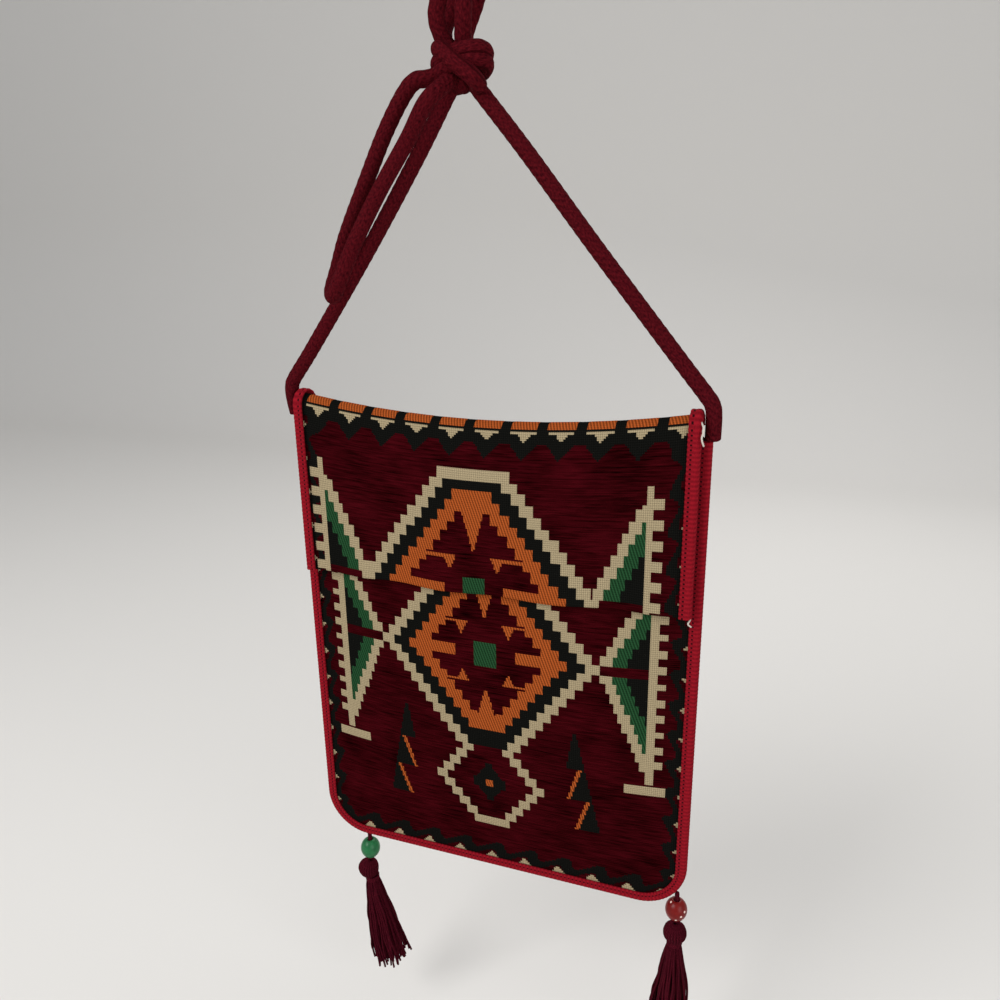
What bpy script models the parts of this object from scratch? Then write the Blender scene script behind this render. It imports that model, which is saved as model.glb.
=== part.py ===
"""Woven wool shoulder bag with a flap, hung up by its cord strap.

Metres, +Z up, +X to the bag's right as its front is looked at, front towards -Y.
The origin is where a hook carries the strap's loop, and the bag hangs below it.
"""
import math

import bmesh
import bpy
import numpy as np
from mathutils import Matrix, Vector

# Sizes of the bag
BAG_HALF_WIDTH = 0.133          # to the outside of the edge binding
BAG_HEIGHT = 0.333              # from the top corners to the bottom of the binding
TOP_CORNER_Z = -0.232           # height of the top corners under the hook
TOP_SAG = 0.011                 # how far the fold sags between its corners
CORNER_RADIUS = 0.032           # rounding of the bottom corners, outside
CLOTH = 0.0020                  # thickness of the woven cloth
BACK_Y = 0.007                  # flat back of the bag
FOLD_RADIUS = 0.007             # outside radius of the fold at the top
FLAP_LENGTH = 0.1186            # from the top corners down to the flap's hem
FLAP_OVERLAP = 0.055            # how far the front panel reaches up behind the flap
POUCH_BULGE = 0.0135            # how far the front panel stands off the back
FLAP_CLEARANCE = 0.0012         # air between the front panel and the flap
HEM_LENGTH = 0.010              # turned edge of the flap and of the pouch's mouth
HEM_EXTRA = 0.0008              # how much thicker the turned edge is

# Sizes of the weave
CELL_WIDTH = 0.00514            # one step of the pattern, across
CELL_HEIGHT = 0.0067            # one step of the pattern, down
RELIEF = 0.0005                 # how far the pattern's thicker weft stands up
PATTERN_CENTRE = 0.1660         # middle of the big hexagon under the top corners
FLAP_PATTERN_SHIFT = -1         # the flap's pattern sits this many steps off centre
BLOCK = 5                       # steps between the lines kept on a plain stretch

# Sizes of the knitted binding
BINDING_WALL = 0.0017           # thickness of the knitted edging
BINDING_DEPTH = 0.0070          # width seen from the front
BINDING_NOTCH = 0.014           # the side binding stops this far under the corners
SEAM_GAP = 0.0003
SHOULDER_RISE = 0.0006          # height of the step in from the panel to the flap's width
FOLD_STEPS = 8

# Sizes of the strap
CORD_DIAMETER = 0.0092
KNOT_CENTRE = (-0.008, -0.002, -0.052)
KNOT_SIZE = (0.0175, 0.0125, 0.0150)
KNOT_RIDGE = 0.0016
TOUCH_GAP = 0.0003
SLOPE_LIFT = 0.0009             # more room where the knot slopes away from a cord's end

# Sizes of the tassels
TASSEL_LEFT_SHARE = -0.767       # place across, as a share of half the bag's width
TASSEL_RIGHT_SHARE = 0.959
TASSEL_CORD_DIAMETER = 0.0032
BEAD_DIAMETER = 0.0145
BEAD_LENGTH = 0.0150
BEAD_BORE_CLEARANCE = 0.0004
BEAD_DROP = 0.0050              # from the pivot to the top of the bead
HEAD_DIAMETER = 0.0150
HEAD_LENGTH = 0.0150
NECK_DIAMETER = 0.0105
NECK_LENGTH = 0.0045
SKIRT_LENGTH = 0.0700
SKIRT_TOP_DIAMETER = 0.0125
SKIRT_DIAMETER = 0.0310
SKIRT_FLUTES = 12

# Places that follow from the sizes
CORD_RADIUS = CORD_DIAMETER / 2
CLOTH_HALF = BAG_HALF_WIDTH - BINDING_WALL - SEAM_GAP
BAG_BOTTOM = TOP_CORNER_Z - BAG_HEIGHT
CLOTH_BOTTOM = BAG_BOTTOM + BINDING_WALL + SEAM_GAP
CLOTH_CORNER = CORNER_RADIUS - BINDING_WALL - SEAM_GAP
BACK_INNER = BACK_Y - CLOTH
HEM_Z = TOP_CORNER_Z - FLAP_LENGTH
MOUTH_Z = HEM_Z + FLAP_OVERLAP
CENTRE_Z = TOP_CORNER_Z - PATTERN_CENTRE
NOTCH_Z = TOP_CORNER_Z - BINDING_NOTCH
PANEL_COLUMNS = 2 * int(CLOTH_HALF / CELL_WIDTH) + 1
FLAP_COLUMNS = PANEL_COLUMNS - 2
FLAP_HALF = CLOTH_HALF * FLAP_COLUMNS / PANEL_COLUMNS
BINDING_LIP = BINDING_DEPTH - BINDING_WALL - SEAM_GAP
CORNER_STEPS = math.ceil(CLOTH_CORNER / CELL_WIDTH)
FLAP_ROWS = round((FLAP_LENGTH - FOLD_RADIUS) / CELL_HEIGHT)

# Colours of the yarns, as linear values
YARNS = {
    "ground": (0.050, 0.0035, 0.0060),
    "cream": (0.50, 0.43, 0.26),
    "black": (0.0055, 0.0065, 0.0075),
    "orange": (0.55, 0.130, 0.022),
    "green": (0.010, 0.095, 0.035),
    "binding": (0.270, 0.010, 0.018),
    "cord": (0.130, 0.006, 0.012),
    "tassel": (0.150, 0.008, 0.020),
}
FIELDS = ["ground", "cream", "black", "orange", "green"]
GROUND, CREAM, BLACK, ORANGE, GREEN = range(5)


def clear_scene():
    """Remove everything that the file holds."""
    for item in list(bpy.data.objects):
        bpy.data.objects.remove(item, do_unlink=True)


def material(name, colour, roughness=0.9, metallic=0.0, transmission=0.0):
    """A Principled material, made once and shared by its name."""
    found = bpy.data.materials.get(name)
    if found:
        return found
    made = bpy.data.materials.new(name)
    made.use_nodes = True
    shader = made.node_tree.nodes["Principled BSDF"]
    shader.inputs["Base Color"].default_value = (*colour, 1.0)
    shader.inputs["Roughness"].default_value = roughness
    shader.inputs["Metallic"].default_value = metallic
    shader.inputs["Transmission Weight"].default_value = transmission
    made.diffuse_color = (*colour, 1.0)
    return made


def yarn(name):
    """The material of one yarn colour."""
    return material("yarn_" + name, YARNS[name])


def add_object(name, data, materials, parent=None):
    """Link an object that holds this mesh or curve."""
    made = bpy.data.objects.new(name, data)
    for each in materials:
        data.materials.append(each)
    bpy.context.scene.collection.objects.link(made)
    made.parent = parent
    return made


def mesh_from_bmesh(name, work):
    """Turn a finished bmesh into a mesh with its faces pointing out."""
    bmesh.ops.recalc_face_normals(work, faces=work.faces)
    mesh = bpy.data.meshes.new(name)
    work.to_mesh(mesh)
    work.free()
    return mesh


# The pattern


def stepped_hexagon(across, up, half_width, point_down):
    """Colour of a stepped hexagon, one step narrower with each row from its middle.

    Counted inwards from the outline it is cream, black and orange, and the middle is
    a ground-coloured flower with orange hooks and a green square.
    """
    row = abs(up)
    side = abs(across)
    depth = half_width + 0.5 - row - side
    last_row = half_width - 4
    if depth < 0 or row > last_row:
        return None
    if depth < 2:
        return CREAM
    if row == last_row:
        return BLACK if point_down else CREAM
    if depth < 4 or row == last_row - 1:
        return BLACK
    if side <= 1 and row <= 1:
        return GREEN
    if depth < 6:
        return ORANGE
    if row == 0 and side >= 4:
        return ORANGE
    if row > 4 and side < 0.6 * (row - 3.9):
        return ORANGE
    if row == 3 and side in (3, 4):
        return ORANGE
    return GROUND


def small_medallion(across, up):
    """Colour of the small stepped medallion that hangs under the hexagon."""
    row = up + 15
    side = abs(across)
    if row < -4 or row > 4:
        return None
    half_width = 7 - abs(row) if row < 4 else 3
    if side > half_width:
        return None
    if row == -4 or side > half_width - 2:
        return CREAM
    if side == 0 and row == 0:
        return ORANGE
    return BLACK if side + abs(row) <= 2 else GROUND


def side_motif(across, up):
    """Colour of a side motif: a toothed column and two stepped triangles."""
    row = abs(up)
    side = abs(across)
    if row == 13:
        return CREAM if 17 <= side <= 22 else None
    if row > 12:
        return None
    if side == 21:
        return CREAM
    if side == 22:
        return CREAM if row % 2 == 1 else None
    if row == 0 or side > 21:
        return None
    inner = 15 + (row - 1) // 2
    if side < inner:
        return None
    return (CREAM, GREEN)[side - inner] if side - inner < 2 else BLACK


def tree(across, up):
    """Colour of the small black stepped tree beside the medallion."""
    side = abs(across) - 13
    if up > -8 or up < -19:
        return None
    spread = (-8 - up) // 4
    return BLACK if -spread <= side <= spread else None


def edge_border(steps_in, along):
    """Colour of the wave border: black hooks over small cream triangles."""
    beat = along % 4
    if steps_in == 1:
        return CREAM if beat == 0 else BLACK
    if steps_in == 2:
        return BLACK if beat in (1, 2, 3) else None
    if steps_in == 3:
        return BLACK if beat == 2 else None
    return None


def top_border(row, column):
    """Colour of the flap's top border: orange bars, cream triangles, black hooks."""
    beat = column % 6
    if row in (0, 1):
        return ORANGE if beat < 4 else BLACK
    if row == 2:
        return CREAM if beat in (1, 2) else BLACK
    if row == 3:
        return BLACK if beat in (3, 4, 5) else None
    return None


def front_chart(columns, rows):
    """Colour of each step of the front panel, rows counted from the bottom."""
    chart = np.zeros((columns, rows), dtype=int)
    middle = columns // 2
    centre_row = round((CENTRE_Z - CLOTH_BOTTOM) / CELL_HEIGHT - 0.5)
    for i in range(columns):
        for j in range(rows):
            across = i - middle
            up = j - centre_row
            edge = min(i, columns - 1 - i, j)
            along = j if edge < j else i
            found = stepped_hexagon(across, up, 14, True)
            found = small_medallion(across, up) if found is None else found
            found = side_motif(across, up) if found is None else found
            found = tree(across, up) if found is None else found
            found = edge_border(edge, along) if found is None else found
            in_corner = min(i, columns - 1 - i) + j < CORNER_STEPS
            if found is not None and edge > 0 and j < rows - 1 and not in_corner:
                chart[i, j] = found
    return mend_corners(chart)


def flap_chart(columns, rows):
    """Colour of each step of the flap, rows counted down from the fold."""
    chart = np.zeros((columns, rows), dtype=int)
    middle = columns // 2 + FLAP_PATTERN_SHIFT
    for i in range(columns):
        for j in range(rows):
            across = i - middle
            up = rows - 1 - j
            edge = min(i, columns - 1 - i)
            found = top_border(j, i)
            found = stepped_hexagon(across, up, 15, False) if found is None else found
            found = side_motif(across, up) if found is None else found
            found = edge_border(edge, j) if found is None else found
            if found is not None and edge > 0 and j < rows - 1:
                chart[i, j] = found
    return mend_corners(chart)


def mend_corners(chart):
    """Fill a step wherever two raised steps would meet at a corner alone."""
    while True:
        raised = chart > 0
        a, b = raised[:-1, :-1], raised[1:, 1:]
        c, d = raised[1:, :-1], raised[:-1, 1:]
        falling = np.argwhere(a & b & ~c & ~d)
        rising = np.argwhere(~a & ~b & c & d)
        if len(falling) == 0 and len(rising) == 0:
            return chart
        for i, j in falling:
            chart[i + 1, j] = chart[i, j]
        for i, j in rising:
            chart[i, j] = chart[i + 1, j]


# The cloth


def round_corner(x, z):
    """Bend the square bottom corners of the cloth's grid into round ones."""
    inner = CLOTH_HALF - CLOTH_CORNER
    top = CLOTH_BOTTOM + CLOTH_CORNER
    a = (abs(x) - inner) / CLOTH_CORNER
    b = (top - z) / CLOTH_CORNER
    if a <= 0 or b <= 0:
        return x, z
    across = inner + CLOTH_CORNER * a * math.sqrt(1 - b * b / 2)
    down = top - CLOTH_CORNER * b * math.sqrt(1 - a * a / 2)
    return math.copysign(across, x), down


def crown(x):
    """Share of the pouch's bulge across its width: none at the seams, one in the middle."""
    reach = CLOTH_HALF - BINDING_DEPTH
    return max(0.0, 1 - (abs(x) / reach) ** 2.5)


def pouch_depth(x, z):
    """Room between the back and the front panel."""
    low = CLOTH_BOTTOM + BINDING_DEPTH
    t = min(1.0, max(0.0, (z - low) / (MOUTH_Z - low)))
    rise = (1 - (1 - t) ** 3) * (1 - 0.35 * t * t)
    return SEAM_GAP + POUCH_BULGE * crown(x) * rise


def front_outer_y(x, z):
    """Outside of the front panel."""
    return BACK_INNER - pouch_depth(x, z) - CLOTH


def flap_outer_y(x, z):
    """Outside of the flap, which lies over the front panel and is straight above it."""
    straight = BACK_Y - 2 * FOLD_RADIUS
    room = CLOTH + HEM_EXTRA + RELIEF + FLAP_CLEARANCE
    near = min(z, MOUTH_Z)
    over = min(0.0, front_outer_y(x, near) - room - straight)
    free_from = MOUTH_Z + HEM_LENGTH
    free_to = TOP_CORNER_Z - TOP_SAG - FOLD_RADIUS
    t = min(1.0, max(0.0, (z - free_from) / (free_to - free_from)))
    fade = 1 - t * t * (3 - 2 * t)
    return straight + over * fade


def top_edge_z(x):
    """Height of the fold, which sags between the corners that the strap holds."""
    return TOP_CORNER_Z - TOP_SAG * (1 - (x / FLAP_HALF) ** 2)


def kept_lines(count, spacing, fine_start=0, fine_end=0):
    """Numbers of the grid lines that the plain side of a sheet keeps."""
    lines = {0, count}
    lines.update(range(0, count, spacing))
    lines.update(range(0, fine_start + 1))
    lines.update(range(count - fine_end, count + 1))
    return sorted(lines)


def woven_sheet(name, outer, inner, chart, kept_columns, kept_rows):
    """A closed sheet with a patterned outside and a plain inside.

    outer and inner give a point for each crossing of the grid's lines. The inside
    keeps some lines only, and the edge joins both. The coloured steps of the chart
    are then raised, and flat stretches of one colour become one face.
    """
    columns, rows = chart.shape
    work = bmesh.new()
    front = {}
    back = {}
    for i in range(columns + 1):
        for j in range(rows + 1):
            front[i, j] = work.verts.new(outer[i][j])
    for i in kept_columns:
        for j in kept_rows:
            back[i, j] = work.verts.new(inner[i][j])
    raised = {}
    for i in range(columns):
        for j in range(rows):
            corners = [front[i, j], front[i + 1, j], front[i + 1, j + 1], front[i, j + 1]]
            face = work.faces.new(corners)
            face.material_index = int(chart[i, j])
            raised[face] = chart[i, j] > 0
    for i0, i1 in zip(kept_columns, kept_columns[1:]):
        for j0, j1 in zip(kept_rows, kept_rows[1:]):
            work.faces.new([back[i0, j0], back[i0, j1], back[i1, j1], back[i1, j0]])
        for j in (0, rows):
            rim = [front[i, j] for i in range(i0, i1 + 1)]
            work.faces.new(rim + [back[i1, j], back[i0, j]])
    for j0, j1 in zip(kept_rows, kept_rows[1:]):
        for i in (0, columns):
            rim = [front[i, j] for j in range(j0, j1 + 1)]
            work.faces.new(rim + [back[i, j1], back[i, j0]])
    mark_blocks(work, front, kept_columns, kept_rows, columns, rows)
    bmesh.ops.recalc_face_normals(work, faces=work.faces)
    raise_pattern(work, [face for face in raised if raised[face]])
    inside = set(back.values())
    plain = [vert for vert in work.verts if vert not in inside]
    between = [edge for edge in work.edges if not inside & set(edge.verts)]
    bmesh.ops.dissolve_limit(
        work,
        angle_limit=math.radians(2),
        use_dissolve_boundaries=False,
        verts=plain,
        edges=between,
        delimit={"MATERIAL", "SEAM"},
    )
    mesh = mesh_from_bmesh(name, work)
    return add_object(name, mesh, [yarn(each) for each in FIELDS])


def mark_blocks(work, front, kept_columns, kept_rows, columns, rows):
    """Mark the lines that stay when the flat faces are joined."""
    for i in kept_columns:
        for j in range(rows):
            work.edges.get([front[i, j], front[i, j + 1]]).seam = True
    for j in kept_rows:
        for i in range(columns):
            work.edges.get([front[i, j], front[i + 1, j]]).seam = True


def raise_pattern(work, faces):
    """Raise these faces off the sheet, with straight walls round their outline."""
    lifted = bmesh.ops.extrude_face_region(work, geom=faces)
    tops = [item for item in lifted["geom"] if isinstance(item, bmesh.types.BMVert)]
    work.normal_update()
    shifts = {vert: vert.normal.copy() for vert in tops}
    for vert, normal in shifts.items():
        vert.co += normal * RELIEF
    bmesh.ops.delete(work, geom=faces, context="FACES")


def build_front_panel():
    """The pouch's front, bulging from its seams up to a turned edge at the mouth."""
    rows = round((MOUTH_Z - CLOTH_BOTTOM) / CELL_HEIGHT)
    height = (MOUTH_Z - CLOTH_BOTTOM) / rows
    width = 2 * CLOTH_HALF / PANEL_COLUMNS
    outer = []
    inner = []
    for i in range(PANEL_COLUMNS + 1):
        outer.append([])
        inner.append([])
        for j in range(rows + 1):
            x, z = round_corner(i * width - CLOTH_HALF, CLOTH_BOTTOM + j * height)
            y = front_outer_y(x, z)
            clear_of_seam = abs(x) < CLOTH_HALF - BINDING_DEPTH
            hem = HEM_EXTRA if z > MOUTH_Z - HEM_LENGTH and clear_of_seam else 0.0
            outer[-1].append((x, y - hem, z))
            inner[-1].append((x, y + CLOTH, z))
    chart = front_chart(PANEL_COLUMNS, rows)
    fine = math.ceil(CLOTH_CORNER / width)
    across = kept_lines(PANEL_COLUMNS, BLOCK, fine, fine)
    up = kept_lines(rows, BLOCK, math.ceil(CLOTH_CORNER / height), 2)
    return woven_sheet("front_panel", outer, inner, chart, across, up)


def strip_section(x):
    """Outer and inner points of the folded strip at one place across it.

    The back runs up flat, turns over in a half circle and comes down as the flap.
    """
    top = top_edge_z(x)
    centre_z = top - FOLD_RADIUS
    centre_y = BACK_Y - FOLD_RADIUS
    outer = []
    inner = []
    for turn in np.linspace(0, math.pi, FOLD_STEPS + 1):
        back, up = math.cos(turn), math.sin(turn)
        thin = FOLD_RADIUS - CLOTH
        outer.append((x, centre_y + FOLD_RADIUS * back, centre_z + FOLD_RADIUS * up))
        inner.append((x, centre_y + thin * back, centre_z + thin * up))
    for share in np.linspace(0, 1, FLAP_ROWS + 1)[1:]:
        z = centre_z + (HEM_Z - centre_z) * share
        y = flap_outer_y(x, z)
        hem = HEM_EXTRA if z < HEM_Z + HEM_LENGTH else 0.0
        outer.append((x, y, z))
        inner.append((x, y + CLOTH + hem, z))
    return outer, inner


def build_strip():
    """The back panel and the flap, one strip of cloth folded over at the top."""
    width = 2 * CLOTH_HALF / PANEL_COLUMNS
    corner_rows = math.ceil(CLOTH_CORNER / CELL_HEIGHT)
    low = [CLOTH_BOTTOM + CLOTH_CORNER * k / corner_rows for k in range(corner_rows + 1)]
    plain_rows = len(low) + 2
    outer = []
    inner = []
    for i in range(PANEL_COLUMNS + 1):
        side = i * width - CLOTH_HALF
        narrow = side * FLAP_HALF / CLOTH_HALF
        column_outer = []
        column_inner = []
        shoulder = NOTCH_Z + top_edge_z(narrow) - TOP_CORNER_Z
        for z in low + [shoulder, shoulder + SHOULDER_RISE]:
            x, bent = round_corner(side, z)
            x = narrow if z > shoulder else x
            column_outer.append((x, BACK_Y, bent))
            column_inner.append((x, BACK_INNER, bent))
        over_outer, over_inner = strip_section(narrow)
        outer.append(column_outer + over_outer)
        inner.append(column_inner + over_inner)
    rows = len(outer[0]) - 1
    chart = np.zeros((PANEL_COLUMNS, rows), dtype=int)
    first = plain_rows + FOLD_STEPS // 2
    chart[:, first:] = flap_chart(PANEL_COLUMNS, rows - first)
    fine = math.ceil(CLOTH_CORNER / width)
    across = kept_lines(PANEL_COLUMNS, BLOCK, fine, fine)
    fold_end = plain_rows + FOLD_STEPS
    along = list(range(fold_end + 1)) + list(range(fold_end + 2, rows - 1, 2)) + [rows - 1, rows]
    return woven_sheet("back_panel_and_flap", outer, inner, chart, across, sorted(set(along)))


# The binding


def swept_channel(name, path, outwards, thickness_way, cloth_room):
    """A U-shaped knitted edging carried along a path on the cloth's edge.

    path gives the edge's points, outwards the way out of the cloth at each, and
    thickness_way the way across the cloth. cloth_room is what the slot must take.
    """
    slot = cloth_room / 2 + SEAM_GAP
    half = slot + BINDING_WALL
    roll = SEAM_GAP + BINDING_WALL
    profile = [
        (-BINDING_LIP, half),
        (SEAM_GAP, half),
        (roll * 0.8, half * 0.75),
        (roll, 0.0),
        (roll * 0.8, -half * 0.75),
        (SEAM_GAP, -half),
        (-BINDING_LIP, -half),
        (-BINDING_LIP, -slot),
        (SEAM_GAP, -slot),
        (SEAM_GAP, slot),
        (-BINDING_LIP, slot),
    ]
    work = bmesh.new()
    rings = []
    for point, out, way in zip(path, outwards, thickness_way):
        ring = [work.verts.new(Vector(point) + Vector(out) * a + Vector(way) * b) for a, b in profile]
        rings.append(ring)
    for one, two in zip(rings, rings[1:]):
        for k in range(len(profile)):
            m = (k + 1) % len(profile)
            work.faces.new([one[k], one[m], two[m], two[k]])
    work.faces.new(rings[0])
    work.faces.new(list(reversed(rings[-1])))
    return add_object(name, mesh_from_bmesh(name, work), [yarn("binding")])


def build_edge_binding():
    """The binding that joins both panels round the sides and the bottom."""
    middle_y = BACK_Y - CLOTH - SEAM_GAP / 2
    turn_x = CLOTH_HALF - CLOTH_CORNER
    turn_z = CLOTH_BOTTOM + CLOTH_CORNER
    start = (-CLOTH_HALF, middle_y, NOTCH_Z - SEAM_GAP)
    path = [start]
    outwards = [(-1, 0, 0)]
    for side in (-1, 1):
        angles = np.linspace(0, math.pi / 2, 9)
        if side > 0:
            angles = angles[::-1]
        for angle in angles:
            out = (side * math.cos(angle), 0, -math.sin(angle))
            at_x = side * turn_x + CLOTH_CORNER * out[0]
            path.append((at_x, middle_y, turn_z + CLOTH_CORNER * out[2]))
            outwards.append(out)
    path.append((CLOTH_HALF, middle_y, start[2]))
    outwards.append((1, 0, 0))
    across = [(0, 1, 0)] * len(path)
    room = 2 * CLOTH + SEAM_GAP
    return swept_channel("edge_binding", path, outwards, across, room)


def build_flap_binding(side, name):
    """The binding on one side edge of the flap, from the fold down to the hem."""
    edge = side * FLAP_HALF
    outer, inner = strip_section(edge)
    middle = (np.array(outer) + np.array(inner)) / 2
    across = np.array(outer) - np.array(inner)
    across[FOLD_STEPS:] = (0, -1, 0)
    across /= np.linalg.norm(across, axis=1)[:, None]
    middle[FOLD_STEPS:, 1] = np.array(outer)[FOLD_STEPS:, 1] + CLOTH / 2
    keep = list(range(0, FOLD_STEPS + 1)) + list(range(FOLD_STEPS + 2, len(outer), 2))
    if keep[-1] != len(outer) - 1:
        keep.append(len(outer) - 1)
    outwards = [(side, 0, 0)] * len(keep)
    return swept_channel(name, middle[keep], outwards, across[keep], CLOTH + HEM_EXTRA * 2)


# The strap


def knot_radius(direction):
    """How far the knot reaches in a direction: an egg with three slanting wraps."""
    d = Vector(direction).normalized()
    egg = 1 / math.sqrt(sum((d[k] / KNOT_SIZE[k]) ** 2 for k in range(3)))
    around = math.atan2(d.y, d.x)
    slant = 3 * math.asin(max(-1, min(1, d.z))) + around
    fade = 1 - d.z * d.z
    return egg + KNOT_RIDGE * fade * math.cos(slant) * math.cos(slant)


def build_knot():
    """The knot that gathers the strap, with the wraps of cord as ridges."""
    work = bmesh.new()
    bmesh.ops.create_uvsphere(work, u_segments=24, v_segments=16, radius=1.0)
    for vert in work.verts:
        vert.co = Vector(KNOT_CENTRE) + vert.co.normalized() * knot_radius(vert.co)
    mesh = mesh_from_bmesh("strap_knot", work)
    mesh.shade_smooth()
    return add_object("strap_knot", mesh, [yarn("cord")])


def smooth_route(points, count):
    """Points spaced evenly along a smooth curve through the route's own points."""
    p = np.array(points, dtype=float)
    ends = np.vstack([2 * p[0] - p[1], p, 2 * p[-1] - p[-2]])
    dense = []
    for k in range(len(p) - 1):
        a, b, c, d = ends[k:k + 4]
        for t in np.linspace(0, 1, 24, endpoint=False):
            dense.append(
                0.5 * (2 * b + (c - a) * t + (2 * a - 5 * b + 4 * c - d) * t ** 2
                       + (3 * b - a - 3 * c + d) * t ** 3)
            )
    dense = np.array(dense + [p[-1]])
    run = np.concatenate([[0], np.cumsum(np.linalg.norm(np.diff(dense, axis=0), axis=1))])
    even = np.linspace(0, run[-1], count)
    return np.column_stack([np.interp(even, run, dense[:, k]) for k in range(3)])


def build_cord(name, route, count):
    """A round cord along a smooth curve through its route."""
    curve = bpy.data.curves.new(name, "CURVE")
    curve.dimensions = "3D"
    curve.bevel_depth = CORD_RADIUS
    curve.bevel_resolution = 2
    curve.use_fill_caps = True
    spline = curve.splines.new("POLY")
    points = smooth_route(route, count)
    spline.points.add(count - 1)
    for target, point in zip(spline.points, points):
        target.co = (*point, 1.0)
    return add_object(name, curve, [yarn("cord")])


def at_knot(direction, lift=0.0):
    """A point just clear of the knot, for a cord that runs out this way.

    lift is more room, where the knot's side slopes away from the cord's end.
    """
    d = Vector(direction).normalized()
    side = d.orthogonal().normalized()
    reach = 0.0
    for turn in range(12):
        around = Matrix.Rotation(turn * math.pi / 6, 3, d) @ side
        near = d * knot_radius(d) + around * CORD_RADIUS
        along = knot_radius(near) * near.normalized().dot(d)
        reach = max(reach, along)
    reach = max(reach, knot_radius(d)) + TOUCH_GAP + lift
    return tuple(Vector(KNOT_CENTRE) + d * reach)


def off_knot(direction, distance):
    """A point this far from the middle of the knot, straight out."""
    return tuple(Vector(KNOT_CENTRE) + Vector(direction).normalized() * distance)


def strap_routes():
    """Routes of the strap's free stretches, as chosen points."""
    seat_x = FLAP_HALF + SEAM_GAP + BINDING_WALL + TOUCH_GAP + CORD_RADIUS
    seat_z = NOTCH_Z + TOUCH_GAP
    left = [
        (-seat_x, 0.0030, seat_z),
        (-seat_x - 0.0002, 0.0015, seat_z + 0.0067),
        (-seat_x - 0.0002, 0.0005, seat_z + 0.0127),
        (-seat_x + 0.0004, 0.0001, TOP_CORNER_Z + 0.0042),
        (-seat_x + 0.0031, 0.0, TOP_CORNER_Z + 0.0095),
        (-0.1130, 0.0, -0.2010),
        (-0.0720, 0.0005, -0.1450),
        (-0.0380, 0.0010, -0.0955),
        at_knot((-0.60, 0.10, -0.80)),
    ]
    right = [
        (seat_x, 0.0030, seat_z),
        (seat_x + 0.0002, 0.0015, seat_z + 0.0067),
        (seat_x + 0.0002, 0.0005, seat_z + 0.0127),
        (seat_x - 0.0005, 0.0001, TOP_CORNER_Z + 0.0042),
        (seat_x - 0.0035, 0.0, TOP_CORNER_Z + 0.0094),
        (0.1120, 0.0, -0.2015),
        (0.0660, -0.0005, -0.1445),
        (0.0280, -0.0015, -0.0960),
        at_knot((0.62, 0.02, -0.78)),
    ]
    bight_start = (-0.93, -0.35, -0.30)
    bight_end = (-0.40, -0.68, -0.62)
    bight = [
        at_knot(bight_start),
        off_knot(bight_start, 0.029),
        (-0.0480, -0.0130, -0.0800),
        (-0.0640, -0.0120, -0.1080),
        (-0.0800, -0.0095, -0.1360),
        (-0.0890, -0.0070, -0.1550),
        (-0.0915, -0.0110, -0.1670),
        (-0.0860, -0.0190, -0.1700),
        (-0.0775, -0.0240, -0.1600),
        (-0.0680, -0.0215, -0.1400),
        (-0.0520, -0.0190, -0.1130),
        (-0.0340, -0.0185, -0.0880),
        off_knot(bight_end, 0.031),
        at_knot(bight_end),
    ]
    loop_start = (0.22, -0.42, 0.88)
    loop_end = (-0.12, 0.58, 0.80)
    hook_loop = [
        at_knot(loop_start),
        off_knot(loop_start, 0.027),
        (-0.0010, -0.0138, -0.0180),
        (0.0000, -0.0125, -0.0079),
        (0.0000, -0.0088, 0.0009),
        (0.0000, 0.0000, CORD_RADIUS),
        (0.0000, 0.0088, 0.0009),
        (-0.0012, 0.0122, -0.0079),
        (-0.0058, 0.0135, -0.0195),
        off_knot(loop_end, 0.0245),
        at_knot(loop_end),
    ]
    second_start = (-0.48, -0.38, 0.79)
    second_end = (-0.68, 0.32, 0.68)
    beside = -(CORD_DIAMETER + 0.0011)
    second_loop = [
        at_knot(second_start, SLOPE_LIFT),
        (-0.0174, -0.0126, -0.0295),
        (-0.0140, -0.0140, -0.0185),
        (beside, -0.0125, -0.0079),
        (beside, -0.0088, 0.0009),
        (beside, 0.0000, CORD_RADIUS),
        (beside, 0.0088, 0.0009),
        (-0.0121, 0.0122, -0.0079),
        (-0.0178, 0.0128, -0.0190),
        (-0.0222, 0.0092, -0.0308),
        at_knot(second_end, SLOPE_LIFT),
    ]
    return {
        "strap_left": (left, 26),
        "strap_right": (right, 26),
        "strap_bight": (bight, 22),
        "strap_hook_loop": (hook_loop, 24),
        "strap_second_loop": (second_loop, 24),
    }


def build_strap():
    """The cords that rise from the bag's top corners to the knot."""
    for name, (route, count) in strap_routes().items():
        build_cord(name, route, count)


# The tassels


def turned(name, profile, segments, materials, parent, flutes=0, flute_depth=0.0):
    """A solid turned round its own Z axis from (radius, height) pairs, top to bottom."""
    work = bmesh.new()
    rings = []
    for share, (radius, height) in zip(np.linspace(0, 1, len(profile)), profile):
        ring = []
        for k in range(segments):
            angle = 2 * math.pi * k / segments
            reach = radius * (1 + flute_depth * share * math.cos(flutes * angle))
            ring.append(work.verts.new((reach * math.cos(angle), reach * math.sin(angle), height)))
        rings.append(ring)
    for one, two in zip(rings, rings[1:]):
        for k in range(segments):
            m = (k + 1) % segments
            work.faces.new([one[k], one[m], two[m], two[k]])
    work.faces.new(rings[0])
    work.faces.new(list(reversed(rings[-1])))
    mesh = mesh_from_bmesh(name, work)
    mesh.shade_smooth()
    mesh.set_sharp_from_angle(angle=math.radians(50))
    return add_object(name, mesh, materials, parent)


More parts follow.
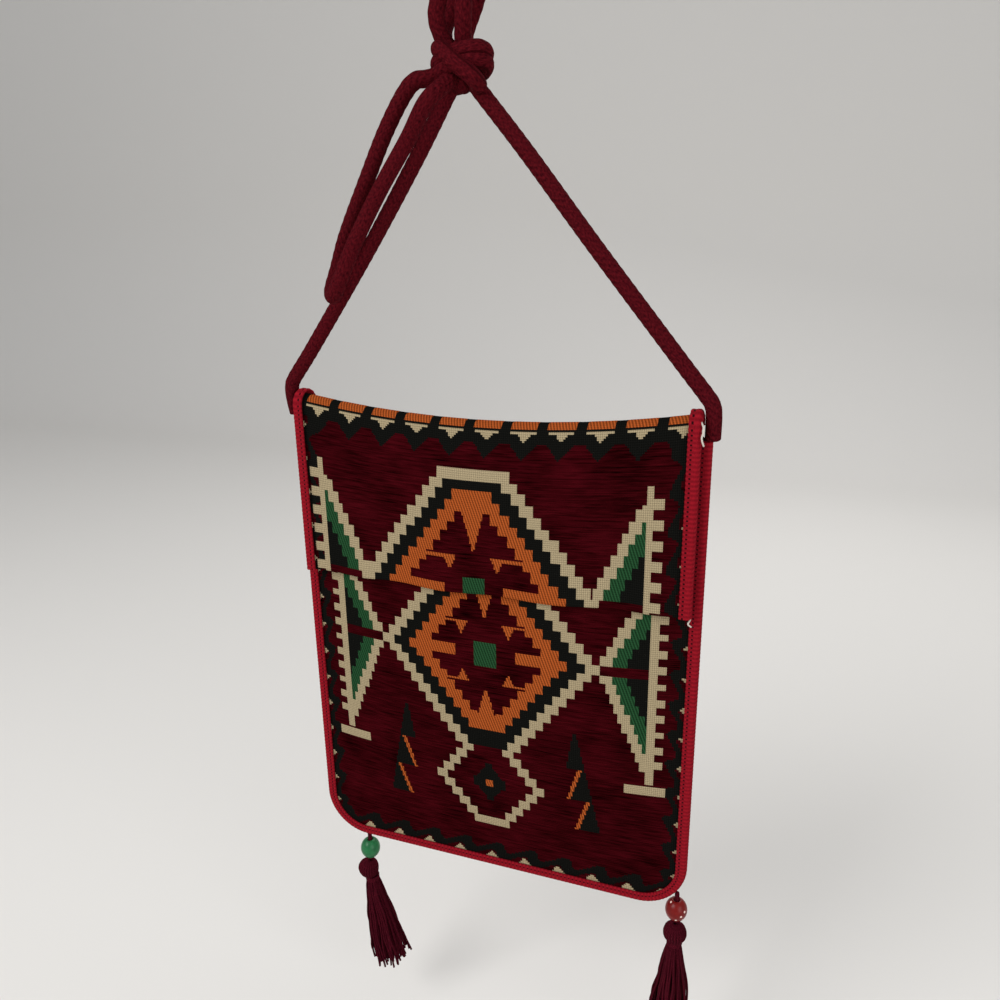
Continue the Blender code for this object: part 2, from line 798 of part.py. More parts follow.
def build_bead(name, parent, top, colour):
    """A round glass bead with a straight bore for its cord."""
    bore = TASSEL_CORD_DIAMETER / 2 + BEAD_BORE_CLEARANCE
    half = BEAD_LENGTH / 2
    work = bmesh.new()
    profile = []
    mouth = math.asin(min(0.95, (bore + 0.0010) / (BEAD_DIAMETER / 2)))
    for angle in np.linspace(mouth, math.pi - mouth, 9):
        profile.append((BEAD_DIAMETER / 2 * math.sin(angle), half * math.cos(angle) / math.cos(mouth)))
    profile += [(bore, -half), (bore, half)]
    segments = 20
    rings = []
    for radius, height in profile:
        ring = []
        for k in range(segments):
            angle = 2 * math.pi * k / segments
            ring.append(work.verts.new((radius * math.cos(angle), radius * math.sin(angle), height)))
        rings.append(ring)
    for one, two in zip(rings, rings[1:] + rings[:1]):
        for k in range(segments):
            m = (k + 1) % segments
            work.faces.new([one[k], one[m], two[m], two[k]])
    mesh = mesh_from_bmesh(name, work)
    mesh.shade_smooth()
    glaze = material(name + "_glass", colour, 0.15, 0.0, 0.2)
    made = add_object(name, mesh, [glaze], parent)
    made.location = (0, 0, top - half)
    return made


def round_end(radius, height, upwards, steps=4):
    """Profile points of a half-round end whose pole is at this height."""
    points = []
    for angle in np.linspace(0.12, math.pi / 2, steps):
        drop = radius * (1 - math.cos(angle))
        points.append((radius * math.sin(angle), height - drop if upwards else height + drop))
    return points if upwards else points[::-1]


def binding_bottom(x):
    """Height of the underside of the binding at this place across the bag."""
    over = abs(x) - (BAG_HALF_WIDTH - CORNER_RADIUS)
    if over <= 0:
        return BAG_BOTTOM
    return BAG_BOTTOM + CORNER_RADIUS - math.sqrt(CORNER_RADIUS ** 2 - over ** 2)


def tassel_pivot(x):
    """Where a tassel's cord turns, just under the binding."""
    radius = TASSEL_CORD_DIAMETER / 2
    over = max(0.0, abs(x) - (BAG_HALF_WIDTH - CORNER_RADIUS))
    lean = math.asin(over / CORNER_RADIUS)
    drop = (radius + TOUCH_GAP) / math.cos(lean)
    middle_y = BACK_Y - CLOTH - SEAM_GAP / 2
    return Vector((x, middle_y, binding_bottom(x) - drop))


def build_tassel(side, x, bead_colour):
    """A cord through a bead, and a tassel with its head, wrapped neck and skirt."""
    pivot = bpy.data.objects.new(side + "_tassel_pivot", None)
    bpy.context.scene.collection.objects.link(pivot)
    pivot.location = tassel_pivot(x)
    cord_radius = TASSEL_CORD_DIAMETER / 2
    bead_top = -BEAD_DROP
    head_top = bead_top - BEAD_LENGTH - TOUCH_GAP * 3 - cord_radius * 2
    cord_end = head_top + cord_radius + TOUCH_GAP
    cord = round_end(cord_radius, cord_radius, True)
    cord += round_end(cord_radius, cord_end - cord_radius, False)
    turned(side + "_tassel_cord", cord, 10, [yarn("tassel")], pivot)
    build_bead(side + "_bead", pivot, bead_top, bead_colour)

    swing = bpy.data.objects.new(side + "_tassel_swing", None)
    bpy.context.scene.collection.objects.link(swing)
    swing.parent = pivot
    swing.location = (0, 0, cord_end)
    top = head_top - cord_end
    head = []
    for angle in np.linspace(0.25, math.pi - 0.85, 8):
        head.append((HEAD_DIAMETER / 2 * math.sin(angle), top - HEAD_LENGTH / 2 * (1 - math.cos(angle))))
    turned(side + "_tassel_head", head, 18, [yarn("tassel")], swing, 9, 0.04)
    neck_top = head[-1][1] - TOUCH_GAP
    neck = [
        (NECK_DIAMETER * 0.46, neck_top),
        (NECK_DIAMETER * 0.50, neck_top - NECK_LENGTH * 0.25),
        (NECK_DIAMETER * 0.50, neck_top - NECK_LENGTH * 0.75),
        (NECK_DIAMETER * 0.46, neck_top - NECK_LENGTH),
    ]
    turned(side + "_tassel_neck", neck, 18, [yarn("tassel")], swing)
    skirt_top = neck_top - NECK_LENGTH - TOUCH_GAP
    skirt = []
    for share in np.linspace(0, 1, 7):
        swell = share ** 0.7
        diameter = SKIRT_TOP_DIAMETER + (SKIRT_DIAMETER - SKIRT_TOP_DIAMETER) * swell
        skirt.append((diameter / 2, skirt_top - SKIRT_LENGTH * share))
    turned(side + "_tassel_skirt", skirt, SKIRT_FLUTES * 3, [yarn("tassel")], swing, SKIRT_FLUTES, 0.05)


def build():
    """Build every piece of the bag."""
    clear_scene()
    build_strip()
    build_front_panel()
    build_edge_binding()
    build_flap_binding(-1, "flap_binding_left")
    build_flap_binding(1, "flap_binding_right")
    build_knot()
    build_strap()
    build_tassel("left", TASSEL_LEFT_SHARE * BAG_HALF_WIDTH, (0.010, 0.16, 0.085))
    build_tassel("right", TASSEL_RIGHT_SHARE * BAG_HALF_WIDTH, (0.45, 0.02, 0.02))


build()
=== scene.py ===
# %% [markdown]
# A flat shoulder bag of thick woven wool hangs from its knotted cord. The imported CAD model
# gives every size and place, and this lesson dresses it in yarn, cord, glass and tassels.

# %% Load the frame
import math

import bpy
import numpy as np
from mathutils import Matrix, Vector


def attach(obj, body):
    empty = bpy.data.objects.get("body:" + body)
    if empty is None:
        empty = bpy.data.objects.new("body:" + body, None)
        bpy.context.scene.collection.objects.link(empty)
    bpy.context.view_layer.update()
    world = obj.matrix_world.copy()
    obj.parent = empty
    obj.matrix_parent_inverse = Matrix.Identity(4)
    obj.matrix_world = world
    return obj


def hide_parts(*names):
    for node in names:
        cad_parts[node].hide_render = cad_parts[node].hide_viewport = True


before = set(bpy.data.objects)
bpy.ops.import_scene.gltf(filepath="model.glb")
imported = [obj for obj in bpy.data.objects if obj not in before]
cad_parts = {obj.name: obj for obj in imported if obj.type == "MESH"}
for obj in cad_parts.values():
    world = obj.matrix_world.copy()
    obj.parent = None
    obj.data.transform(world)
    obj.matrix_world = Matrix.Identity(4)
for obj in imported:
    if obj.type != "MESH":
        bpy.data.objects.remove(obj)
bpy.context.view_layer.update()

# %% [markdown]
# The camera comes first. It stood to the bag's right and above its middle, and looked down
# to the left. The place was fitted to the hexagon, the knot and the outline of the bag.

# %% Camera
IMAGE_SIZE = 1000
FOCAL_PIXELS = 850
CAMERA_PLACE = (0.1811, -0.4639, -0.1374)
CAMERA_ANGLES = [math.radians(a) for a in (-20.37, -17.32, -0.88)]  # yaw, pitch and roll
SENSOR_MM = 36.0


def camera_turn(yaw, pitch, roll):
    """Rows are right, up and back: forward is along yaw and pitch, then roll turns round it."""
    level = math.cos(pitch)
    forward = Vector((math.sin(yaw) * level, math.cos(yaw) * level, math.sin(pitch)))
    side = forward.cross(Vector((0, 0, 1))).normalized()
    top = side.cross(forward)
    right = side * math.cos(roll) + top * math.sin(roll)
    up = top * math.cos(roll) - side * math.sin(roll)
    return Matrix((right, up, -forward)).transposed().to_4x4()


camera_data = bpy.data.cameras.new("photo_camera")
camera_data.sensor_width = SENSOR_MM
camera_data.lens = SENSOR_MM * FOCAL_PIXELS / IMAGE_SIZE
camera = bpy.data.objects.new("photo_camera", camera_data)
camera.matrix_world = Matrix.Translation(CAMERA_PLACE) @ camera_turn(*CAMERA_ANGLES)
bpy.context.scene.collection.objects.link(camera)
bpy.context.scene.camera = camera
print("camera: lens %.1f mm" % camera_data.lens)

# %% [markdown]
# Every surface below is a grid of points worked out by numpy. One helper turns such a grid
# into a mesh, closes it round where it is a tube, and keeps a map that follows the surface.

# %% Grids into meshes
def grid_quads(rows, columns, round_columns):
    """Corner numbers of each quad: point, next across, next across and up, next up."""
    across = columns if round_columns else columns - 1
    i, j = np.meshgrid(np.arange(rows - 1), np.arange(across), indexing="ij")
    k = (j + 1) % columns
    low, high = i * columns, (i + 1) * columns
    return np.stack([low + j, low + k, high + k, high + j], -1).reshape(-1, 4)


def make_mesh(name, points, quads, uv=None, smooth=True, caps=()):
    """A piece from its points, quads and end caps, with (u, v) in metres stored per point."""
    faces = quads.tolist() + [list(cap) for cap in caps]
    mesh = bpy.data.meshes.new(name)
    mesh.from_pydata(points.reshape(-1, 3).tolist(), [], faces)
    if uv is not None:
        loops = np.zeros(len(mesh.loops), dtype=np.int32)
        mesh.loops.foreach_get("vertex_index", loops)
        layer = mesh.uv_layers.new(name="surface")
        layer.data.foreach_set("uv", uv.reshape(-1, 2)[loops].astype(np.float32).ravel())
    mesh.polygons.foreach_set("use_smooth", np.full(len(mesh.polygons), smooth))
    mesh.update()
    piece = bpy.data.objects.new(name, mesh)
    bpy.context.scene.collection.objects.link(piece)
    return piece


def run_along(points):
    """Length along a line of points, from its start up to each of them."""
    return np.concatenate([[0], np.cumsum(np.linalg.norm(np.diff(points, axis=0), axis=1))])


def smooth_route(points, count):
    """Even points on a Catmull-Rom curve, which passes through each chosen point."""
    p = np.array(points, dtype=float)
    ends = np.vstack([2 * p[0] - p[1], p, 2 * p[-1] - p[-2]])
    t = np.linspace(0, 1, 24, endpoint=False)[:, None]
    dense = []
    for k in range(len(p) - 1):
        a, b, c, d = ends[k:k + 4]
        square, cube = 2 * a - 5 * b + 4 * c - d, 3 * b - a - 3 * c + d
        dense.append(0.5 * (2 * b + (c - a) * t + square * t ** 2 + cube * t ** 3))
    dense = np.vstack(dense + [p[-1:]])
    run = run_along(dense)
    even = np.linspace(0, run[-1], count)
    return np.column_stack([np.interp(even, run, dense[:, k]) for k in range(3)])


def carried_frames(path):
    """Tangents, and two side vectors carried along the path without twist."""
    tangent = np.gradient(path, axis=0)
    tangent /= np.linalg.norm(tangent, axis=1)[:, None]
    side = np.cross(tangent[0], (0.31, 0.87, 0.38))
    sides = []
    for t in tangent:
        side = side - t * side.dot(t)
        side = side / np.linalg.norm(side)
        sides.append(side)
    sides = np.array(sides)
    return tangent, sides, np.cross(tangent, sides)


def tube(name, path, radius, around, relief=None, taper=0.0):
    """A closed tube: point = path + radius * (1 + relief(angle, length)) * (side cos + other sin)."""
    _, side, other = carried_frames(path)
    run = run_along(path)
    angle = np.linspace(0, 2 * math.pi, around, endpoint=False)
    length, turn = np.meshgrid(run, angle, indexing="ij")
    reach = radius * np.ones_like(turn)
    if relief is not None:
        reach = reach * (1 + relief(turn, length))
    if taper:
        ends = np.minimum(run, run[-1] - run) / taper
        reach = reach * np.sqrt(1 - (1 - np.clip(ends, 0.06, 1)) ** 2)[:, None]
    cosine, sine = np.cos(turn)[..., None], np.sin(turn)[..., None]
    points = path[:, None] + reach[..., None] * (side[:, None] * cosine + other[:, None] * sine)
    count = len(path)
    caps = [range(around - 1, -1, -1), range((count - 1) * around, count * around)]
    uv = np.stack([turn / (2 * math.pi) * radius * 6.283, length], -1)
    return make_mesh(name, points, grid_quads(count, around, True), uv, True, caps)


print("helpers ready")

# %% [markdown]
# Yarn never has one flat colour. Each finish below starts from a principled shader, mixes two
# or three tones by noise at the scale of a thread, and raises the threads with a bump.

# %% Finishes: the node helper
def finish_material(name, roughness, specular=0.25, sheen=0.0):
    """A principled material with its constants on the shader's own sockets."""
    made = bpy.data.materials.new(name)
    made.use_nodes = True
    tree = made.node_tree
    shader = tree.nodes["Principled BSDF"]
    shader.inputs["Roughness"].default_value = roughness
    shader.inputs["Specular IOR Level"].default_value = specular
    shader.inputs["Sheen Weight"].default_value = sheen
    shader.inputs["Sheen Roughness"].default_value = 0.5
    shader.inputs["Sheen Tint"].default_value = (1, 1, 1, 1)
    return made, tree, shader


def add(tree, kind, **values):
    """A node with its settings; a number names an input, a word names a property."""
    node = tree.nodes.new(kind)
    for key, value in values.items():
        if key.startswith("in_"):
            node.inputs[key[3:].replace("_", " ")].default_value = value
        else:
            setattr(node, key, value)
    return node


def math_node(tree, operation, first, second=None, third=None):
    """One step of arithmetic on sockets or plain numbers."""
    node = add(tree, "ShaderNodeMath", operation=operation)
    for slot, value in enumerate((first, second, third)):
        if value is None:
            continue
        if isinstance(value, (int, float)):
            node.inputs[slot].default_value = value
        else:
            tree.links.new(value, node.inputs[slot])
    return node.outputs[0]


def mix_colours(tree, share, first, second, blend="MIX"):
    """One colour laid over another by a share."""
    node = add(tree, "ShaderNodeMix", data_type="RGBA", blend_type=blend)
    for socket, value in ((node.inputs[0], share), (node.inputs[6], first), (node.inputs[7], second)):
        if isinstance(value, (int, float)):
            socket.default_value = value
        elif isinstance(value, tuple):
            socket.default_value = (*value, 1)
        else:
            tree.links.new(value, socket)
    return node.outputs[2]


def surface_noise(tree, scale_u, scale_v, scale, detail=3.0):
    """Noise on the piece's own map, stretched by its two scales."""
    place = add(tree, "ShaderNodeUVMap", uv_map="surface")
    mapping = add(tree, "ShaderNodeMapping")
    mapping.inputs["Scale"].default_value = (scale_u, scale_v, 1)
    tree.links.new(place.outputs[0], mapping.inputs[0])
    noise = add(tree, "ShaderNodeTexNoise", in_Scale=scale, in_Detail=detail)
    tree.links.new(mapping.outputs[0], noise.inputs["Vector"])
    return noise.outputs[0], place


def put_bump(tree, shader, height, strength, distance):
    """Raise the surface where height is high, by this distance in metres."""
    bump = add(tree, "ShaderNodeBump", in_Strength=strength, in_Distance=distance)
    tree.links.new(height, bump.inputs["Height"])
    tree.links.new(bump.outputs[0], shader.inputs["Normal"])


print("node helpers ready")

# %% [markdown]
# The cord of the strap and the tassels' yarn are the same wool. Its strands run slanting round the
# cord, so a slanted stripe on the cord's own map gives the plies, and noise gives the fuzz. The stripe
# also paints shade into the grooves between the plies.

# %% Finish: wool cord and yarn
def wool(name, dark, light, plies, slant, fuzz):
    """Two tones mixed by slanted plies and noise: stripe = sin(u * plies + v * slant), painted shade
    in the ply grooves.
    """
    made, tree, shader = finish_material(name, 0.97, specular=0.02)
    noise, place = surface_noise(tree, 1100, 620, 1.0, 5.0)
    split = add(tree, "ShaderNodeSeparateXYZ")
    tree.links.new(place.outputs[0], split.inputs[0])
    round_cord = math_node(tree, "MULTIPLY", split.outputs[0], plies)
    along_cord = math_node(tree, "MULTIPLY", split.outputs[1], slant)
    phase = math_node(tree, "ADD", round_cord, along_cord)
    stripe = math_node(tree, "MULTIPLY_ADD", math_node(tree, "SINE", phase), 0.5, 0.5)
    fuzz_tone = math_node(tree, "MULTIPLY_ADD", noise, 2.2, -0.66)
    # Painted shade: the ply stripe darkens the colour in the grooves between plies; the noise is
    # random fuzz tone.
    tone = math_node(tree, "MULTIPLY_ADD", stripe, 0.14, fuzz_tone)
    tree.links.new(mix_colours(tree, tone, dark, light), shader.inputs["Base Color"])
    height = math_node(tree, "ADD", stripe, math_node(tree, "MULTIPLY", noise, fuzz))
    put_bump(tree, shader, height, 0.8, 0.0006)
    return made


CORD_WOOL = wool("strap_wool", (0.022, 0.0012, 0.0030), (0.105, 0.0058, 0.0095), 1300, 1500, 1.6)
TASSEL_WOOL = wool("tassel_wool", (0.020, 0.0014, 0.0045), (0.100, 0.0070, 0.0150), 2500, 3400, 0.8)
print("wool for cord and tassels")

# %% [markdown]
# The strap's free stretches repeat the routes of the CAD cords, so they lie where the solids
# lie. The real cord is plaited from thick wool, and its surface rises and falls slightly.

# %% Strap cords
CORD_DIAMETER = 0.0092
CORD_RADIUS = CORD_DIAMETER / 2
CORD_SIDES = 20
CORD_STEP = 0.0009
PLAIT_PITCH = 0.0056
INTO_KNOT = 0.0075
KNOT_CENTRE = (-0.008, -0.002, -0.052)
ROUTES = {
    "strap_left": [
        (-0.13276, 0.003, -0.2457), (-0.13296, 0.0015, -0.239), (-0.13296, 0.0005, -0.233),
        (-0.13236, 0.0001, -0.2278), (-0.12966, 0.0, -0.2225), (-0.113, 0.0, -0.201),
        (-0.072, 0.0005, -0.145), (-0.038, 0.001, -0.0955), (-0.0179, -0.00035, -0.0652),
    ],
    "strap_right": [
        (0.13276, 0.003, -0.2457), (0.13296, 0.0015, -0.239), (0.13296, 0.0005, -0.233),
        (0.13226, 0.0001, -0.2278), (0.12926, 0.0, -0.2226), (0.112, 0.0, -0.2015),
        (0.066, -0.0005, -0.1445), (0.028, -0.0015, -0.096), (0.00234, -0.00167, -0.06501),
    ],
    "strap_bight": [
        (-0.02452, -0.00822, -0.05733), (-0.03398, -0.01178, -0.06038), (-0.048, -0.013, -0.08),
        (-0.064, -0.012, -0.108), (-0.08, -0.0095, -0.136), (-0.089, -0.007, -0.155),
        (-0.0915, -0.011, -0.167), (-0.086, -0.019, -0.17), (-0.0775, -0.024, -0.16),
        (-0.068, -0.0215, -0.14), (-0.052, -0.019, -0.113), (-0.034, -0.0185, -0.088),
        (-0.02036, -0.02301, -0.07115), (-0.01398, -0.01216, -0.06127),
    ],
    "strap_hook_loop": [
        (-0.00467, -0.00836, -0.03868), (-0.00206, -0.01334, -0.02823), (-0.001, -0.0138, -0.018),
        (0.0, -0.0125, -0.0079), (0.0, -0.0088, 0.0009), (0.0, 0.0, 0.0046),
        (0.0, 0.0088, 0.0009), (-0.0012, 0.0122, -0.0079), (-0.0058, 0.0135, -0.0195),
        (-0.01095, 0.01228, -0.03231), (-0.00975, 0.00648, -0.0403),
    ],
    "strap_second_loop": [
        (-0.01615, -0.00845, -0.03859), (-0.0174, -0.0126, -0.0295), (-0.014, -0.014, -0.0185),
        (-0.0103, -0.0125, -0.0079), (-0.0103, -0.0088, 0.0009), (-0.0103, 0.0, 0.0046),
        (-0.0103, 0.0088, 0.0009), (-0.0121, 0.0122, -0.0079), (-0.0178, 0.0128, -0.019),
        (-0.0222, 0.0092, -0.0308), (-0.01951, 0.00341, -0.04049),
    ],
}
CORD_LENGTHS = {
    "strap_left": 0.2173, "strap_right": 0.2267, "strap_bight": 0.2825,
    "strap_hook_loop": 0.1079, "strap_second_loop": 0.1095,
}


def plait(turn, length):
    """Strands that cross: 1% of cos(5 angle + wind) and 1% of cos(5 angle - wind)."""
    wind = 2 * math.pi * length / PLAIT_PITCH
    return 0.01 * np.cos(5 * turn + wind) + 0.01 * np.cos(5 * turn - wind)


def into_knot(point):
    """A point further on towards the knot's middle, so that the wraps cover the cord's end."""
    way = np.subtract(KNOT_CENTRE, point)
    return tuple(point + way / np.linalg.norm(way) * INTO_KNOT)


for name, route in ROUTES.items():
    ends = [into_knot(route[-1])]
    starts = [] if name in ("strap_left", "strap_right") else [into_knot(route[0])]
    drawn_length = CORD_LENGTHS[name] + INTO_KNOT * (len(starts) + len(ends))
    path = smooth_route(starts + route + ends, int(drawn_length / CORD_STEP))
    piece = tube(name + "_wool", path, CORD_RADIUS * 0.97, CORD_SIDES, plait)
    piece.data.materials.append(CORD_WOOL)
    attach(piece, "bag")
    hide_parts(name)

# %% [markdown]
# The knot is the strap's own cord, wound round the strands that pass through it. One cord is
# carried round an oval spiral for the wraps, and lumps at both sides are its turning bights.

# %% Knot
def wound(turns, start, wide, deep, tall, tilt, count):
    """Oval spiral: x = wide cos, y = deep sin, z falls with the turn and tilts with cos."""
    a = np.linspace(start, start + 2 * math.pi * turns, count)
    share = np.linspace(-1, 1, count)
    fall = -tall * share + tilt * np.cos(a + 0.4)
    return np.column_stack([wide * np.cos(a), deep * np.sin(a), fall]) + KNOT_CENTRE


knot_path = wound(2.15, 2.5, 0.0128, 0.0090, 0.0055, 0.0042, 160)
knot = tube("strap_knot_wraps", knot_path, CORD_RADIUS * 1.02, CORD_SIDES, plait, taper=0.004)
crossing = smooth_route([
    (-0.0210, -0.0035, -0.0430), (-0.0150, -0.0120, -0.0450), (-0.0070, -0.0150, -0.0515),
    (0.0020, -0.0125, -0.0590), (0.0035, -0.0040, -0.0640)], 60)
knot_crossing = tube("strap_knot_crossing", crossing, CORD_RADIUS, CORD_SIDES, plait, taper=0.004)
bundle = smooth_route([
    (-0.0080, -0.0020, -0.0400), (-0.0085, -0.0020, -0.0520), (-0.0080, -0.0020, -0.0650)], 40)
knot_core = tube("strap_knot_core", bundle, CORD_RADIUS * 1.55, CORD_SIDES, plait, taper=0.005)
for piece in (knot, knot_crossing, knot_core):
    piece.data.materials.append(CORD_WOOL)
    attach(piece, "bag")
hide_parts("strap_knot")
print("knot: wraps of", len(knot_path), "points")

# %% [markdown]
# The cloth is a kilim: each step of its pattern is a block of thread, so every outline is a
# staircase. The chart works in steps across and rows up, with four cells to a step and about
# five to a row.

# %% Sizes of the cloth
HALF_WIDTH, CLOTH, BACK_Y = 0.133, 0.0020, 0.007
WALL, SEAM, BINDING_WIDTH = 0.0017, 0.0003, 0.007
TOP_Z, SAG, FOLD = -0.232, 0.011, 0.007
BAG_HEIGHT, CORNER_RADIUS, NOTCH = 0.333, 0.032, 0.014
FLAP_LENGTH, FLAP_OVERLAP, FLAP_GAP = 0.1186, 0.055, 0.0045
PATTERN_CENTRE, POUCH_BULGE = 0.1614, 0.0135
CLOTH_HALF = HALF_WIDTH - WALL - SEAM
BAG_BOTTOM = TOP_Z - BAG_HEIGHT
CLOTH_BOTTOM = BAG_BOTTOM + WALL + SEAM
CORNER = CORNER_RADIUS - WALL - SEAM
INNER_Y = BACK_Y - CLOTH
HEM_Z = TOP_Z - FLAP_LENGTH
MOUTH_Z = HEM_Z + FLAP_OVERLAP
CENTRE_Z = TOP_Z - PATTERN_CENTRE
STEP, ROW, FLAP_ROW = 0.00514, 0.00655, 0.00675
COLUMNS, FLAP_COLUMNS, CELLS_A_STEP = 51, 49, 4
PANEL_CELLS, FLAP_CELLS, FOLD_CELLS, BACK_CELLS = 200, 86, 16, 60
FLAP_HALF = CLOTH_HALF * FLAP_COLUMNS / COLUMNS
NOTCH_Z = TOP_Z - NOTCH
GROUND, CREAM, BLACK, ORANGE, GREEN = range(5)
print("cloth: %.3f m wide, flap hem at %.3f m" % (2 * CLOTH_HALF, HEM_Z))

# %% [markdown]
# The big motif is a stepped hexagon. Its bands are counted inwards from the outline, and the
# middle holds a flower with rounded lobes, orange bars and a green square.

# %% Chart: hexagon and medallion
def paint(chart, where, yarn):
    """Lay a yarn wherever the mask holds."""
    chart[where] = yarn


def hexagon(chart, x, y, half, closed):
    """Stepped bands: depth = half + 0.5 - row - side, with row in whole rows from the middle."""
    side = np.abs(x)
    row = np.floor(np.abs(y) + 0.5)
    depth = half + 0.5 - row - side
    last = half - 4
    inside = (depth >= 0) & (row <= last)
    paint(chart, inside, CREAM)
    paint(chart, inside & (depth >= 1.75) & (row < last), BLACK)
    paint(chart, inside & (depth >= 4.0) & (row < last - 1), ORANGE)
    field = inside & (depth >= 6.25) & (row < last - 2)
    paint(chart, field, GROUND)
    up = np.abs(y)
    lobes = np.abs(side - 2.7) > 1.7 + 0.55 * np.sqrt(np.maximum(0, 7.5 - up))
    paint(chart, field & (up > 4.4) & lobes, ORANGE)
    paint(chart, field & (up < 0.62) & (side > 3.9), ORANGE)
    paint(chart, field & (up > 3.9) & (side < 0.36 * (up - 3.9) + 0.1), ORANGE)
    paint(chart, field & (up > 1.9) & (up < 3.3) & (np.abs(side - 3.1) < 0.62 * (up - 1.9)), ORANGE)
    paint(chart, field & (up > 3.05) & (up < 3.3) & (side > 3.1), ORANGE)
    paint(chart, (side < 1.45) & (up < 1.3), GREEN)
    if closed:
        paint(chart, (row == last) & (side < half + 0.5 - row - 1.75) & (y < 0), BLACK)


MEDALLION_DROP = 15


def medallion(chart, x, y):
    """A small hexagon under the big one: 7.5 steps to each side at its middle, a black cross in it."""
    height = y + MEDALLION_DROP
    side, up = np.abs(x), np.abs(height)
    row = np.floor(up + 0.5)
    half = np.maximum(7 - row, 2) + 0.5
    inside = (row <= np.where(height < 0, 5, 4)) & (side <= half)
    paint(chart, inside, CREAM)
    paint(chart, inside & (height > -4.5) & (side <= half - 1.5), GROUND)
    upright, level = (side < 0.6) & (up < 2.3), (up < 0.6) & (side < 2.2)
    paint(chart, (side + up <= 2.4) | upright | level, BLACK)
    paint(chart, (side < 0.45) & (up < 0.42), ORANGE)


# %% [markdown]
# At both sides stands a toothed cream column, with two stepped triangles of cream, green and
# black that meet at a bar of the ground. Small black trees with orange twigs fill the corners.

# %% Chart: side motifs, trees and borders
def side_columns(chart, x, y):
    """A column 20.35 to 21.2 steps out, teeth every 1.7 rows, and stairs that narrow from the bar."""
    side, up = np.abs(x), np.abs(y)
    row = np.floor(up + 0.5)
    top = np.where(y > 0, 8.8, 10.5)
    tall = up < top
    stairs = 14.6 + np.where(y > 0, 0.66, 0.55) * np.floor(np.maximum(row - 1, 0))
    wedge = tall & (row > 0) & (side < 20.6) & (side >= stairs)
    paint(chart, wedge, BLACK)
    paint(chart, wedge & (side < stairs + 3.1), GREEN)
    paint(chart, wedge & (side < stairs + 1.35), CREAM)
    paint(chart, (up < top + 1.6) & (side >= 20.35) & (side < 21.2), CREAM)
    paint(chart, (up < top + 0.7) & (side >= 21.1) & (side < 22.3) & (np.mod(y, 1.7) < 0.8), CREAM)
    paint(chart, (y <= -12.3) & (y > -13.3) & (side >= 17.8) & (side < 22.8), CREAM)


def trees(chart, x, y):
    """Half firs, side counted inwards from 11.5 steps: outer edge at -0.25 - 0.27 down.

    The inner edge is a sawtooth of three teeth, and the lower two are lined in orange.
    """
    side = 11.5 - np.abs(x)
    down = -7.4 - y
    outside = side > -0.25 - 0.27 * down
    teeth = ((0.0, 4.1, 0.2, 1.1), (4.1, 7.7, -0.65, 0.75), (7.7, 11.3, -1.8, -0.3))
    for top, bottom, start, end in teeth:
        tooth = (down > top) & (down <= bottom)
        inside = start + (end - start) * (down - top) / (bottom - top)
        paint(chart, tooth & outside & (side < inside), BLACK)
        if top:
            paint(chart, tooth & (np.abs(side - inside) < 0.24), ORANGE)


def wave_border(chart, inwards, along, period, first, height, thick, speck):
    """Black leaning waves where |inwards - height (1 + 0.38 cos)| < thick, with cream triangles."""
    beat = np.mod(along - first + period / 2, period) - period / 2
    lean = beat - 0.75 * (inwards - 2)
    wave = height * (1 + 0.38 * np.cos(2 * math.pi * lean / period))
    paint(chart, np.abs(inwards - wave) < thick, BLACK)
    paint(chart, np.abs(beat) < 0.85 * (speck - inwards), CREAM)


def top_border(chart, x, down):
    """Orange bars under the fold, small cream triangles, and a thick black zigzag = 3.0 - 0.9 |x|."""
    period = 4.45
    beat = np.mod(x - 2.95, period) - period / 2
    from_tip = np.abs(beat + 0.18 * (down - 2))
    zigzag = 3.0 - 0.9 * from_tip
    paint(chart, down < 1.5, BLACK)
    paint(chart, (down >= 1.4) & (np.abs(down - np.maximum(zigzag, 1.55)) < 0.88), BLACK)
    paint(chart, (down < 1.12) & (np.abs(beat) < 1.62), ORANGE)
    paint(chart, (down >= 1.22) & (down < 1.4) & (np.abs(beat) < 1.5), CREAM)
    paint(chart, (down >= 1.3) & (down < 2.2 - 0.9 * from_tip), CREAM)


def front_chart(x, z):
    """The front panel's yarns by place: the whole motif, the trees and the wave borders."""
    across, up = x / STEP, (z - CENTRE_Z) / ROW
    chart = np.full(x.shape, GROUND)
    low = (z - CLOTH_BOTTOM) / STEP
    edge = (CLOTH_HALF - np.abs(x)) / STEP
    wave_border(chart, edge, z / STEP, 4.05, 0.0, 1.65, 0.62, 1.5)
    wave_border(chart, low, x / STEP, 4.72, 18.5, 2.1, 0.85, 1.95)
    hexagon(chart, across, up, 14, True)
    medallion(chart, across, up)
    side_columns(chart, across, up)
    trees(chart, across, up)
    return chart


def flap_chart(x, down, from_hem):
    """The flap's yarns: the upper half of the same motif, one step to the left, under its border."""
    across = x / STEP + 1
    up = from_hem / FLAP_ROW - 0.25
    chart = np.full(x.shape, GROUND)
    wave_border(chart, (FLAP_HALF - np.abs(x)) / STEP, down / STEP, 4.05, 0.0, 1.5, 0.6, 1.2)
    hexagon(chart, across, up, 15, False)
    side_columns(chart, across, up)
    top_border(chart, x / STEP, down / ROW)
    return chart


print("charts ready")

# %% [markdown]
# The two sheets lie where the CAD panels lie. The front panel bulges from its seams, the strip
# runs up the back, turns over and comes down as the flap. Each formula works on whole arrays.

